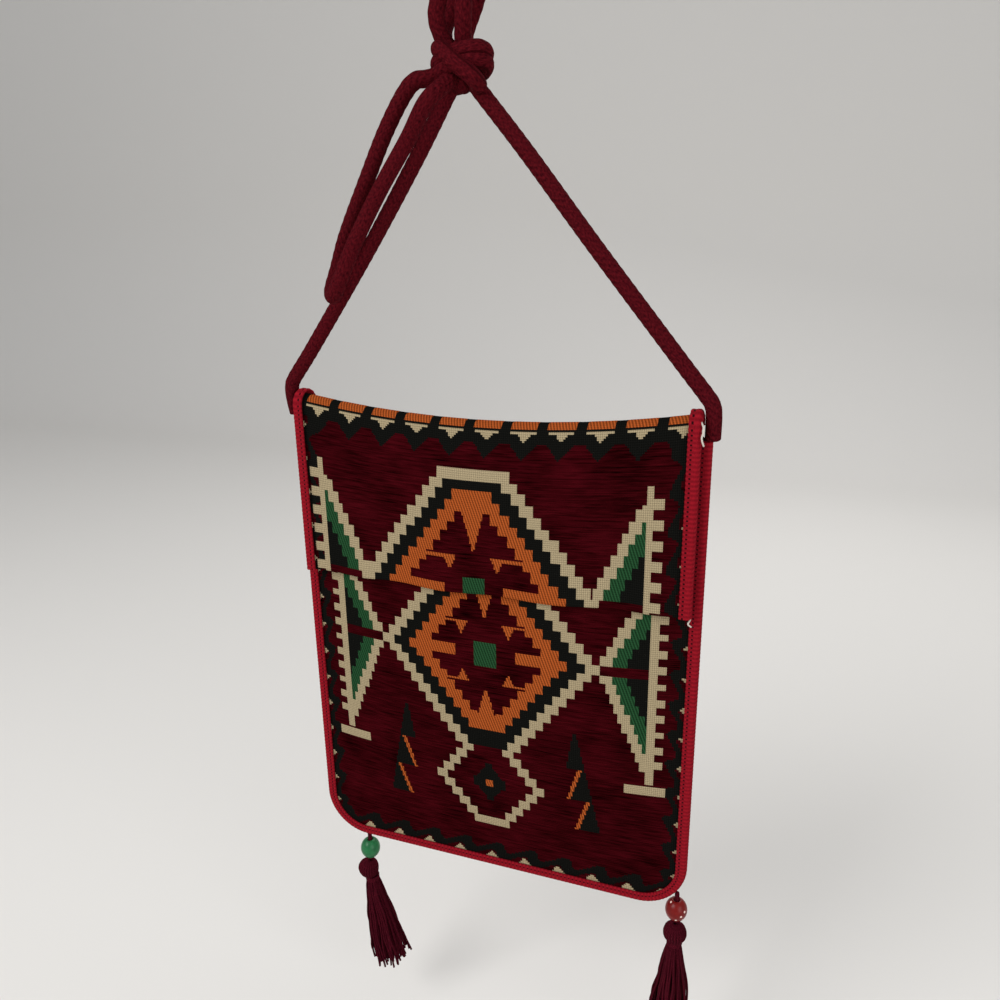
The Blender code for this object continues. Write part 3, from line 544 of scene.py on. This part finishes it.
# %% Surfaces of the cloth
def pouch_depth(x, z):
    """Bulge * crown * rise: crown = 1 - (|x| / reach)^2.5, rise = (1 - (1-t)^3)(1 - 0.35 t^2)."""
    crown = np.maximum(0, 1 - (np.abs(x) / (CLOTH_HALF - BINDING_WIDTH)) ** 2.5)
    low = CLOTH_BOTTOM + BINDING_WIDTH
    t = np.clip((z - low) / (MOUTH_Z - low), 0, 1)
    return SEAM + POUCH_BULGE * crown * (1 - (1 - t) ** 3) * (1 - 0.35 * t * t)


def front_y(x, z):
    """Outside of the front panel: the back's inside less the depth and the cloth."""
    return INNER_Y - pouch_depth(x, z) - CLOTH


def flap_y(x, z):
    """The flap clears the panel, and fades into a straight run up to the fold above the mouth."""
    straight = BACK_Y - 2 * FOLD
    over = np.minimum(0, front_y(x, np.minimum(z, MOUTH_Z)) - FLAP_GAP - straight)
    start, end = MOUTH_Z + 0.010, TOP_Z - SAG - FOLD
    t = np.clip((z - start) / (end - start), 0, 1)
    return straight + over * (1 - t * t * (3 - 2 * t))


def top_z(x):
    """The fold sags as a parabola between the corners that the strap holds."""
    return TOP_Z - SAG * (1 - (x / FLAP_HALF) ** 2)


def rounded(x, z):
    """Square corner to round: a' = a sqrt(1 - b^2 / 2) and b' = b sqrt(1 - a^2 / 2)."""
    inner, top = CLOTH_HALF - CORNER, CLOTH_BOTTOM + CORNER
    a = np.clip((np.abs(x) - inner) / CORNER, 0, 1)
    b = np.clip((top - z) / CORNER, 0, 1)
    bend = (a > 0) & (b > 0)
    new_x = np.sign(x) * (inner + CORNER * a * np.sqrt(1 - b * b / 2))
    new_z = top - CORNER * b * np.sqrt(1 - a * a / 2)
    return np.where(bend, new_x, x), np.where(bend, new_z, z)


YARN_COLOURS = np.array([
    (0.030, 0.0013, 0.0026, 1), (0.345, 0.275, 0.165, 1), (0.0060, 0.0060, 0.0052, 1),
    (0.300, 0.064, 0.014, 1), (0.014, 0.052, 0.020, 1)], dtype=np.float32)
YARN_HEIGHTS = np.array([0.0, 0.00038, 0.00022, 0.00034, 0.00030])


def point_heights(chart):
    """Height of each grid point: the mean of the cells that meet there."""
    high = np.pad(YARN_HEIGHTS[chart], 1, mode="edge")
    return (high[:-1, :-1] + high[1:, :-1] + high[:-1, 1:] + high[1:, 1:]) / 4


def woven_sheet(name, x, y, z, out, chart, uv, thickness):
    """A sheet from its outside points, raised along the way out, with a yarn on every cell."""
    height = point_heights(chart)[..., None]
    points = np.stack([x, y, z], -1) + out * height
    rows, columns = x.shape
    piece = make_mesh(name, points, grid_quads(rows, columns, False), uv)
    cells = chart.ravel()
    kind = piece.data.attributes.new("weave_kind", "FLOAT", "FACE")
    kind.data.foreach_set("value", cells.astype(np.float32))
    colour = piece.data.attributes.new("yarn_colour", "FLOAT_COLOR", "CORNER")
    colour.data.foreach_set("color", np.repeat(YARN_COLOURS[cells], 4, axis=0).ravel())
    wall = piece.modifiers.new("thickness", "SOLIDIFY")
    wall.thickness = thickness
    wall.offset = -1
    return piece


def middles(values):
    """The middle of each pair of neighbours."""
    return (values[1:] + values[:-1]) / 2


ACROSS = np.linspace(-CLOTH_HALF, CLOTH_HALF, COLUMNS * CELLS_A_STEP + 1)
rows_up = np.linspace(CLOTH_BOTTOM, MOUTH_Z, PANEL_CELLS + 1)
flat_x, flat_z = np.meshgrid(ACROSS, rows_up)
cell_x, cell_z = np.meshgrid(middles(ACROSS), middles(rows_up))
panel_x, panel_z = rounded(flat_x, flat_z)
panel_chart = front_chart(cell_x, cell_z)
SHEET = CLOTH * 0.9
front = woven_sheet(
    "front_panel_cloth", panel_x, front_y(panel_x, panel_z), panel_z, np.array([0, -1.0, 0]),
    panel_chart, np.stack([flat_x, flat_z], -1), SHEET)
print("front panel:", panel_chart.size, "cells")

# %% [markdown]
# The strip is followed from the flap's hem up to the fold, round the half circle and down the
# back. The hem is slightly wavy, as cloth that has been lifted often is.

# %% The strip: flap, fold and back
share = np.linspace(0, 1, FLAP_CELLS + 1)
turns = np.linspace(0, math.pi, FOLD_CELLS + 1)[1:]
down = np.linspace(0, 1, BACK_CELLS + 1)[1:]


def strip_surface(side):
    """Outside points and the way out: hem to fold, half circle, then straight down the back."""
    narrow = side * FLAP_HALF / CLOTH_HALF
    centre = top_z(narrow) - FOLD
    z1 = HEM_Z + (centre[None] - HEM_Z) * share[:, None]
    x1 = np.broadcast_to(narrow, z1.shape)
    y1 = flap_y(x1, z1)
    low = np.clip(1 - share * 3, 0, 1)[:, None] * np.clip((FLAP_HALF - np.abs(x1)) / 0.03, 0, 1)
    z1 = z1 + 0.0009 * low * np.sin(x1 * 95 + 0.6)
    y1 = y1 - 0.0004 * low * (1 + np.sin(x1 * 120))
    a = math.pi - turns[:, None]
    y2 = BACK_Y - FOLD + FOLD * np.cos(a) * np.ones_like(narrow)
    z2 = centre[None] + FOLD * np.sin(a)
    x2 = np.broadcast_to(narrow, z2.shape)
    z3 = centre[None] + (CLOTH_BOTTOM - centre[None]) * down[:, None]
    notch = np.clip((NOTCH_Z - z3) / 0.002, 0, 1)
    x3 = narrow[None] + (side - narrow)[None] * notch
    x3, z3 = rounded(x3, z3)
    y3 = np.full(z3.shape, BACK_Y)
    x, y, z = (np.vstack(part) for part in ((x1, x2, x3), (y1, y2, y3), (z1, z2, z3)))
    out_y = np.concatenate([-np.ones(len(share)), np.cos(math.pi - turns), np.ones(len(down))])
    out_z = np.concatenate([np.zeros(len(share)), np.sin(math.pi - turns), np.zeros(len(down))])
    return x, y, z, np.stack([0 * out_y, out_y, out_z], -1)[:, None, :]


strip_x, strip_y, strip_z, strip_out = strip_surface(ACROSS)
middle = len(ACROSS) // 2
run_steps = np.hypot(np.diff(strip_y[:, middle]), np.diff(strip_z[:, middle]))
run = np.concatenate([[0], np.cumsum(run_steps)])
middle_run = middles(run)
over_fold = run[FLAP_CELLS] + FOLD * math.pi / 2
below = over_fold - middle_run
cell_across = middles(ACROSS) * FLAP_HALF / CLOTH_HALF
strip_cells = np.meshgrid(cell_across, np.maximum(below, -0.002))
strip_chart = flap_chart(*strip_cells, np.broadcast_to(middle_run[:, None], strip_cells[0].shape))
strip_chart[below < -0.0035] = GROUND
strip_uv = np.stack(np.broadcast_arrays(ACROSS[None], run[:, None]), -1)
strip = woven_sheet(
    "back_and_flap_cloth", strip_x, strip_y, strip_z, strip_out, strip_chart, strip_uv, SHEET)
print("strip: %.3f m long, %d cells" % (run[-1], strip_chart.size))

# %% [markdown]
# One finish serves the whole cloth. It takes its colour from the yarn of the cell, and its weave from
# the kind: chenille streaks on the ground, ribs on cream and black, twill on orange. The ribs, weft
# and twill paint shade into the colour between threads, while the streaks and noise are random tone.

# %% Finish: kilim cloth
def kilim():
    """Tone = streaks, ribs or twill by kind: rib = sin(u), weft = sin(v), twill = sin(u + v); ribs,
    weft and twill are painted shade between threads.
    """
    made, tree, shader = finish_material("kilim_wool", 0.98, specular=0.0)
    links = tree.links
    streak, place = surface_noise(tree, 60, 780, 1.0, 3.0)
    patches, _ = surface_noise(tree, 26, 40, 1.0, 2.0)
    fine, _ = surface_noise(tree, 1500, 1500, 1.0, 2.0)
    split = add(tree, "ShaderNodeSeparateXYZ")
    links.new(place.outputs[0], split.inputs[0])
    u, v = split.outputs[0], split.outputs[1]
    colour = add(tree, "ShaderNodeAttribute", attribute_name="yarn_colour")
    kind = add(tree, "ShaderNodeAttribute", attribute_name="weave_kind").outputs["Fac"]

    def wave(phase):
        """A sine between none and one: 0.5 sin + 0.5."""
        return math_node(tree, "MULTIPLY_ADD", math_node(tree, "SINE", phase), 0.5, 0.5)

    def is_kind(number):
        """One on the cells of this yarn, none elsewhere."""
        return math_node(tree, "COMPARE", kind, float(number), 0.4)

    rib = wave(math_node(tree, "MULTIPLY", u, 2 * math.pi / 0.00128))
    weft = wave(math_node(tree, "MULTIPLY", v, 2 * math.pi / 0.00134))
    twill_u = math_node(tree, "MULTIPLY", u, 2 * math.pi / 0.0019)
    twill_v = math_node(tree, "MULTIPLY", v, 2 * math.pi / 0.0052)
    twill = wave(math_node(tree, "ADD", twill_u, twill_v))
    plain = math_node(tree, "MULTIPLY_ADD", rib, 0.45, math_node(tree, "MULTIPLY", weft, 0.45))
    slanted = math_node(tree, "ADD", is_kind(ORANGE), is_kind(GREEN))
    ground = is_kind(GROUND)
    most, rest = math_node(tree, "MULTIPLY", twill, 0.8), math_node(tree, "MULTIPLY", weft, 0.2)
    twilled = math_node(tree, "ADD", most, rest)

    def choose(share, first, second):
        """first * (1 - share) + second * share."""
        kept = math_node(tree, "MULTIPLY", first, math_node(tree, "SUBTRACT", 1.0, share))
        return math_node(tree, "ADD", kept, math_node(tree, "MULTIPLY", second, share))

    chenille = math_node(tree, "MULTIPLY_ADD", streak, 4.0, math_node(tree, "MULTIPLY", patches, 3.0))
    chenille = math_node(tree, "MULTIPLY_ADD", weft, 0.35, chenille)
    chenille = math_node(tree, "SUBTRACT", chenille, 3.17)
    # Painted shade: ribs, weft and twill darken the yarn colour between threads; streaks, patches and
    # fine noise are random tone.
    tone = choose(ground, choose(slanted, plain, twilled), chenille)
    contrast = math_node(tree, "MULTIPLY_ADD", slanted, 0.45, 0.70)
    swing = math_node(tree, "MULTIPLY", math_node(tree, "SUBTRACT", tone, 0.5), contrast)
    level = math_node(tree, "ADD", swing, 0.98)
    level = math_node(tree, "MULTIPLY", level, math_node(tree, "MULTIPLY_ADD", fine, 0.3, 0.85))
    grey = add(tree, "ShaderNodeCombineXYZ")
    for socket in grey.inputs:
        links.new(level, socket)
    toned = mix_colours(tree, 1.0, colour.outputs["Color"], grey.outputs[0], "MULTIPLY")
    links.new(toned, shader.inputs["Base Color"])
    height = math_node(tree, "ADD", tone, math_node(tree, "MULTIPLY", fine, 0.5))
    put_bump(tree, shader, height, 0.7, 0.0005)
    return made


KILIM = kilim()
for piece, node in ((front, "front_panel"), (strip, "back_panel_and_flap")):
    piece.data.materials.append(KILIM)
    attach(piece, "bag")
    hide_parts(node)
print("kilim finish on both sheets")

# %% [markdown]
# A knitted edging in bright red covers the cut edges. It is a thick U carried along the edge, with a
# stitch every 2.7 mm and a row of needle holes on its inner side, painted dark as shade.

# %% Binding
BINDING_PATH_STEP = 0.0009
STITCH = 0.0027


def channel_profile(room):
    """A U open inwards: round outside, straight slot for the cloth inside, as (out, across) pairs."""
    slot = room / 2 + SEAM
    half, roll, lip = slot + WALL, SEAM + WALL, 0.0050
    a = np.linspace(math.pi / 2, -math.pi / 2, 11)
    outer = np.column_stack([np.cos(a) * roll, np.sin(a) * half])
    front_lip = np.array([
        (-lip, slot + 0.0002), (-lip, half * 0.9), (-lip * 0.8, half),
        (-lip * 0.5, half * 0.93), (-lip * 0.25, half * 1.02)])
    inner = np.array([(SEAM, -slot), (SEAM, slot)])
    back_lip = front_lip[::-1] * (1, -1)
    return np.vstack([front_lip, outer, back_lip, inner]), len(front_lip) * 2 + len(outer)


def knitted_edge(name, path, outwards, across, room):
    """Point = path + out * a + across * b, swelled by |sin| of the length at every stitch."""
    profile, skin = channel_profile(room)
    length = run_along(path)
    swell = np.zeros((len(path), len(profile)))
    k = np.arange(len(profile))
    phase = math.pi * length[:, None] / STITCH + 0.5 * (k[None] % 2)
    swell[:, 1:skin - 1] = 0.00028 * (np.abs(np.sin(phase)) - 0.6)[:, 1:skin - 1]
    way = profile / np.linalg.norm(profile, axis=1)[:, None]
    a = profile[:, 0] + swell * way[:, 0]
    b = profile[:, 1] + swell * way[:, 1]
    points = path[:, None] + outwards[:, None] * a[..., None] + across[:, None] * b[..., None]
    n = len(profile)
    girth = run_along(profile)
    uv = np.stack(np.broadcast_arrays(girth[None], length[:, None]), -1)
    caps = [range(n - 1, -1, -1), range((len(path) - 1) * n, len(path) * n)]
    return make_mesh(name, points, grid_quads(len(path), n, True), uv, True, caps)


def line_between(start, end):
    """Even points from start to just before end."""
    count = max(2, int(np.linalg.norm(np.subtract(end, start)) / BINDING_PATH_STEP))
    return np.linspace(start, end, count, endpoint=False)


seam_y = BACK_Y - CLOTH - SEAM / 2
turn_x, turn_z = CLOTH_HALF - CORNER, CLOTH_BOTTOM + CORNER
quarter = np.linspace(0, math.pi / 2, 50)[:, None]
left_turn = np.hstack([
    -turn_x - CORNER * np.cos(quarter), seam_y + 0 * quarter, turn_z - CORNER * np.sin(quarter)])
right_turn = (left_turn * (-1, 1, 1))[::-1]
edge_path = np.vstack([
    line_between((-CLOTH_HALF, seam_y, NOTCH_Z - SEAM), (-CLOTH_HALF, seam_y, turn_z)),
    left_turn[:-1],
    line_between((-turn_x, seam_y, CLOTH_BOTTOM), (turn_x, seam_y, CLOTH_BOTTOM)),
    right_turn[:-1],
    line_between((CLOTH_HALF, seam_y, turn_z), (CLOTH_HALF, seam_y, NOTCH_Z - SEAM)),
])
edge_out = np.cross(np.gradient(edge_path, axis=0), (0, 1, 0))
edge_out /= np.linalg.norm(edge_out, axis=1)[:, None]
if edge_out[len(edge_out) // 2, 2] > 0:
    edge_out = -edge_out
front_way = np.tile((0.0, -1.0, 0.0), (len(edge_path), 1))
edge = knitted_edge("edge_binding_knit", edge_path, edge_out, front_way, 2 * CLOTH + SEAM)
bindings = [(edge, "edge_binding")]
last = FLAP_CELLS + len(turns)
for side, node in ((-1, "flap_binding_left"), (1, "flap_binding_right")):
    column = 0 if side < 0 else -1
    outside = np.stack([grid[:last + 1, column] for grid in (strip_x, strip_y, strip_z)], -1)
    way = strip_out[:last + 1, 0]
    centre_line = outside - way * CLOTH / 2
    fine, coarse = np.linspace(0, last, last * 2 + 1), np.arange(last + 1)
    centre_line = np.column_stack([np.interp(fine, coarse, centre_line[:, k]) for k in range(3)])
    way = np.column_stack([np.interp(fine, coarse, way[:, k]) for k in range(3)])
    way /= np.linalg.norm(way, axis=1)[:, None]
    out = np.tile((float(side), 0.0, 0.0), (len(fine), 1))
    bindings.append((knitted_edge(node + "_knit", centre_line, out, way, CLOTH + 0.0016), node))
print("binding: %.3f m round the pouch" % (len(edge_path) * BINDING_PATH_STEP))

# %% [markdown]
# The edging's map runs round its girth and along its length. A sine of the length paints shade between
# the stitches, and a narrow band of the girth holds the row of needle holes, painted dark as shade.

# %% Finish: knitted edging
def knitted():
    """Red tones by painted stitch shade and noise; a hole painted dark as shade where the girth is 3.3
    mm +- 0.6 and sin of the length > 0.35.
    """
    made, tree, shader = finish_material("knitted_edging", 0.95, specular=0.04)
    noise, place = surface_noise(tree, 1200, 700, 1.0, 3.0)
    split = add(tree, "ShaderNodeSeparateXYZ")
    tree.links.new(place.outputs[0], split.inputs[0])
    beat = math_node(tree, "MULTIPLY", split.outputs[1], 2 * math.pi / STITCH)
    stitch = math_node(tree, "SINE", beat)
    near = math_node(tree, "COMPARE", split.outputs[0], 0.0033, 0.0006)
    hole = math_node(tree, "MULTIPLY", near, math_node(tree, "GREATER_THAN", stitch, 0.35))
    # Painted shade: the stitch sine darkens the red between stitches; the noise is random tone.
    shade = math_node(tree, "MULTIPLY_ADD", stitch, 0.2, 0.2)
    tone = math_node(tree, "ADD", shade, math_node(tree, "MULTIPLY", noise, 0.7))
    red = mix_colours(tree, tone, (0.095, 0.0025, 0.006), (0.330, 0.009, 0.018))
    # Painted shade: the needle holes are a dark red mark in the colour, not cut into the edging.
    tree.links.new(mix_colours(tree, hole, red, (0.020, 0.002, 0.004)), shader.inputs["Base Color"])
    put_bump(tree, shader, math_node(tree, "SUBTRACT", tone, hole), 0.7, 0.0006)
    return made


KNITTED = knitted()
for piece, node in bindings:
    piece.data.materials.append(KNITTED)
    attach(piece, "bag")
    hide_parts(node)
print("edging on", len(bindings), "edges")

# %% [markdown]
# A tassel is a bundle of yarn: a cord through a glass bead, a head of yarn bent over, a wrapped
# neck and a loose skirt. All the yarns of a bundle are worked out in one array.

# %% Tassels
def yarn_bundle(name, lines, radius, around=6):
    """Tubes round many lines at once: point = line + radius * (side cos + other sin), capped."""
    tangent = np.gradient(lines, axis=1)
    tangent /= np.linalg.norm(tangent, axis=2)[..., None]
    side = np.cross(tangent, (0.83, 0.51, 0.22))
    side /= np.linalg.norm(side, axis=2)[..., None]
    other = np.cross(tangent, side)
    angle = np.linspace(0, 2 * math.pi, around, endpoint=False)
    ring = side[:, :, None] * np.cos(angle)[:, None] + other[:, :, None] * np.sin(angle)[:, None]
    points = lines[:, :, None] + radius * ring
    many, rows = lines.shape[:2]
    quads = grid_quads(rows, around, True)
    block = np.arange(many)[:, None, None] * rows * around
    faces = (quads[None] + block).reshape(-1, 4)
    first = np.arange(around - 1, -1, -1)
    caps = [c for b in block.ravel() for c in (first + b, first[::-1] + b + (rows - 1) * around)]
    length = np.linspace(0, np.linalg.norm(np.diff(lines[0], axis=0), axis=1).sum(), rows)
    uv = np.stack(np.broadcast_arrays(angle[None] * radius, length[:, None]), -1)
    uv = np.broadcast_to(uv, (many, rows, around, 2))
    return make_mesh(name, points, faces, uv, True, [c.tolist() for c in caps])


def lathe(name, profile, around, centre):
    """A closed ring of profile points (radius, height) turned round the vertical."""
    angle = np.linspace(0, 2 * math.pi, around, endpoint=False)
    r, h = profile[:, 0][:, None], profile[:, 1][:, None]
    rings = np.stack([r * np.cos(angle), r * np.sin(angle), h + 0 * angle], -1) + centre
    closed = np.concatenate([rings, rings[:1]])
    quads = grid_quads(len(closed), around, True) % (len(profile) * around)
    return make_mesh(name, rings, quads, np.stack(np.broadcast_arrays(angle * 0.007, h), -1))


# Each tassel's pivot, the skirt's lean, the head's shift and the seed of its random draws
TASSELS = {
    "left": ((-0.102011, 0.00485, -0.566885), 0.012, -0.0030, 3),
    "right": ((0.127547, 0.00485, -0.554271), -0.001, 0.0, 8),
}
TASSEL_CORD = [[0, 0, 0.0014], [0.0002, 0, -0.006], [-0.0002, 0, -0.014], [0, 0, -0.0218]]
BEAD_MIDDLE, HEAD_TOP, NECK_TOP, SKIRT_TOP = -0.0125, -0.0250, -0.0374, -0.0402
HEAD_RADIUS, HEAD_HEIGHT = 0.0062, 0.0068
NECK_RADIUS, NECK_HEIGHT, NECK_TURNS = 0.0045, 0.0037, 4
SKIRT_YARNS, SKIRT_LENGTH = 125, 0.0720
BEAD_RADIUS, BEAD_HALF, BEAD_MOUTH = 0.00725, 0.0075, 0.0030
BEAD_BORE = [(0.0024, -0.0076), (0.0020, -0.0070), (0.0020, 0.0070), (0.0024, 0.0076)]
CORD_YARN, HEAD_YARN, NECK_YARN, SKIRT_YARN = 0.00155, 0.00112, 0.00072, 0.00078


def head_lines(pivot, shift):
    """Yarns bent over: girth = radius sin(bow) + 0.6 mm, and the height falls as 1 - cos(bow)."""
    turn = np.linspace(0, 2 * math.pi, 22, endpoint=False)[:, None]
    bow = np.linspace(0.12, math.pi - 0.75, 18)[None]
    girth = HEAD_RADIUS * np.sin(bow) + 0.0006
    return np.stack([
        girth * np.cos(turn) + shift * np.sin(bow),
        girth * np.sin(turn) * 0.92,
        HEAD_TOP - HEAD_HEIGHT * (1 - np.cos(bow)) + 0 * turn], -1) + pivot


def neck_line(pivot):
    """The wrap round the neck: a coil that falls evenly with its turns."""
    coil = np.linspace(0, 2 * math.pi * NECK_TURNS, 150)
    fall = NECK_TOP - NECK_HEIGHT * coil / coil[-1]
    return np.column_stack([NECK_RADIUS * np.cos(coil), NECK_RADIUS * np.sin(coil), fall]) + pivot


def skirt_lines(pivot, lean, rng):
    """Loose yarns: they spread as t^0.75, lean as t^1.2 and sway as a sine, with t from 0 to 1."""
    spot = 2 * math.pi * rng.random((SKIRT_YARNS, 1))
    spread = np.sqrt(rng.random((SKIRT_YARNS, 1)))
    t = np.linspace(0, 1, 16)[None]
    drop = SKIRT_LENGTH * (0.80 + 0.20 * rng.random((SKIRT_YARNS, 1)) ** 0.6)
    wide = spread * (0.0038 + 0.0110 * t ** 0.75)
    sway = t * (5 + 9 * rng.random((SKIRT_YARNS, 1)))
    wobble = 0.0012 * np.sin(sway + 6.3 * rng.random((SKIRT_YARNS, 1))) * t
    return np.stack([
        wide * np.cos(spot) + lean * t ** 1.2 + wobble,
        wide * np.sin(spot) + wobble[:, ::-1] * 0.6,
        SKIRT_TOP - drop * t], -1) + pivot


def bead_ring():
    """Outline as (radius sin a, half cos a) between the mouths, then back through the bore."""
    mouth = math.asin(BEAD_MOUTH / BEAD_RADIUS)
    a = np.linspace(mouth, math.pi - mouth, 26)
    outline = np.column_stack([BEAD_RADIUS * np.sin(a), BEAD_HALF * np.cos(a) / math.cos(mouth)])
    return np.vstack([outline, BEAD_BORE])


tassel_pieces = {}
for side_name, (place, lean, head_shift, seed) in TASSELS.items():
    rng = np.random.default_rng(seed)
    pivot = np.array(place)
    cord_path = smooth_route(np.array(TASSEL_CORD) + pivot, 40)
    cord = tube(side_name + "_tassel_cord_wool", cord_path, CORD_YARN, 12, taper=0.001)
    head = yarn_bundle(side_name + "_tassel_head_yarn", head_lines(pivot, head_shift), HEAD_YARN, 7)
    neck = tube(side_name + "_tassel_neck_wrap", neck_line(pivot), NECK_YARN, 8, taper=0.0008)
    skirt = yarn_bundle(side_name + "_tassel_skirt_yarn", skirt_lines(pivot, lean, rng), SKIRT_YARN)
    bead = lathe(side_name + "_bead_glass", bead_ring(), 48, pivot + (0, 0, BEAD_MIDDLE))
    for piece, node, body in ((cord, "cord", "cord"), (head, "head", "tassel"),
                              (neck, "neck", "tassel"), (skirt, "skirt", "tassel")):
        piece.data.materials.append(TASSEL_WOOL)
        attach(piece, side_name + "_" + body)
        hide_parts(side_name + "_tassel_" + node)
    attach(bead, side_name + "_bead_body")
    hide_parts(side_name + "_bead")
    tassel_pieces[side_name] = bead
print("tassels: yarns and beads on both sides")

# %% [markdown]
# The left bead is mottled green glass under a clear glaze. The right one is red, with small
# white specks, which a cell pattern with a low threshold gives.

# %% Finish: beads
def bead_glass(name, dark, light, specks):
    """Two tones by cloud noise on Object coordinates, specks where a cell's distance < 0.2."""
    made, tree, shader = finish_material(name, 0.30, specular=0.16)
    shader.inputs["Coat Weight"].default_value = 0.06
    shader.inputs["Coat Roughness"].default_value = 0.05
    place = add(tree, "ShaderNodeTexCoord").outputs["Object"]
    noise = add(tree, "ShaderNodeTexNoise", in_Scale=320.0, in_Detail=4.0)
    tree.links.new(place, noise.inputs["Vector"])
    colour = mix_colours(tree, noise.outputs[0], dark, light)
    if specks:
        cells = add(tree, "ShaderNodeTexVoronoi", in_Scale=260.0)
        tree.links.new(place, cells.inputs["Vector"])
        dot = math_node(tree, "LESS_THAN", cells.outputs["Distance"], 0.20)
        colour = mix_colours(tree, dot, colour, (0.80, 0.62, 0.55))
    tree.links.new(colour, shader.inputs["Base Color"])
    return made


green_glass = bead_glass("green_glass", (0.003, 0.050, 0.017), (0.030, 0.200, 0.070), False)
red_glass = bead_glass("red_glass", (0.080, 0.002, 0.002), (0.220, 0.008, 0.006), True)
tassel_pieces["left"].data.materials.append(green_glass)
tassel_pieces["right"].data.materials.append(red_glass)
print("beads finished")

# %% [markdown]
# A cut thread of undyed wool was left hanging at the right top corner, and a shorter one at
# the end of the flap's hem. Small signs of hand work like these keep the bag from looking new.

# %% Loose threads
THREAD_RADIUS = 0.0005
THREADS = (
    [(0.1275, -0.0070, -0.2350), (0.1292, -0.0098, -0.2385),
     (0.1284, -0.0105, -0.2430), (0.1296, -0.0098, -0.2475)],
    [(0.1255, -0.0040, -0.3490), (0.1272, -0.0062, -0.3510),
     (0.1262, -0.0068, -0.3540), (0.1280, -0.0060, -0.3560)],
)
threads = np.stack([smooth_route(points, 20) for points in THREADS])
loose = yarn_bundle("loose_threads", threads, THREAD_RADIUS)
thread_wool, tree, shader = finish_material("undyed_wool", 0.9, sheen=0.2)
noise, _ = surface_noise(tree, 2000, 900, 1.0)
undyed = mix_colours(tree, noise, (0.42, 0.38, 0.32), (0.72, 0.68, 0.60))
tree.links.new(undyed, shader.inputs["Base Color"])
loose.data.materials.append(thread_wool)
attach(loose, "bag")
print("loose threads: 2")

# %% [markdown]
# The stage is a pale sweep: a floor that curves up into a wall far behind the bag, so that the
# views from the back aren't blocked. Three soft lamps light the bag at a plain level.

# %% Stage and light
FLOOR_Z, FLOOR_FRONT, BEND_START, BEND_RADIUS = -0.72, -4.0, 1.6, 0.7
WALL_Y, WALL_TOP, STAGE_HALF = 2.3, 3.0, 5.0
AIM = (0, 0, -0.35)
LAMPS = {
    "key_lamp": ((-0.9, -1.3, 0.7), 21, 1.0),
    "fill_lamp": ((1.3, -1.0, 0.0), 10, 1.2),
    "back_lamp": ((0.3, 1.3, 0.8), 12, 1.0),
}


def sweep(name):
    """Floor, quarter circle and wall as one profile (y, z), carried along x."""
    a = np.linspace(0, math.pi / 2, 24)
    y = np.concatenate([[FLOOR_FRONT], BEND_START + BEND_RADIUS * np.sin(a), [WALL_Y]])
    z = np.concatenate([[FLOOR_Z], FLOOR_Z + BEND_RADIUS * (1 - np.cos(a)), [WALL_TOP]])
    gx, gy = np.meshgrid(np.array([-STAGE_HALF, STAGE_HALF]), y)
    points = np.stack([gx, gy, np.broadcast_to(z[:, None], gx.shape)], -1)
    return make_mesh(name, points, grid_quads(len(y), 2, False))


stage = sweep("pale_sweep")
pale, tree, shader = finish_material("pale_paper", 1.0, specular=0.0)
shader.inputs["Base Color"].default_value = (0.72, 0.70, 0.67, 1)
stage.data.materials.append(pale)


def soft_lamp(name, place, power, size):
    """A square lamp that looks at the middle of the bag."""
    data = bpy.data.lights.new(name, "AREA")
    data.energy = power
    data.size = size
    lamp = bpy.data.objects.new(name, data)
    lamp.location = place
    aim = Vector(AIM) - Vector(place)
    lamp.rotation_euler = aim.to_track_quat("-Z", "Y").to_euler()
    bpy.context.scene.collection.objects.link(lamp)


for lamp_name, (place, power, size) in LAMPS.items():
    soft_lamp(lamp_name, place, power, size)
world = bpy.data.worlds.new("pale_room")
bpy.context.scene.world = world
world.use_nodes = True
background = world.node_tree.nodes["Background"]
background.inputs[0].default_value = (0.95, 0.97, 1.0, 1)
background.inputs[1].default_value = 0.55
bpy.context.scene.view_settings.view_transform = "Standard"
print("stage and lamps ready")
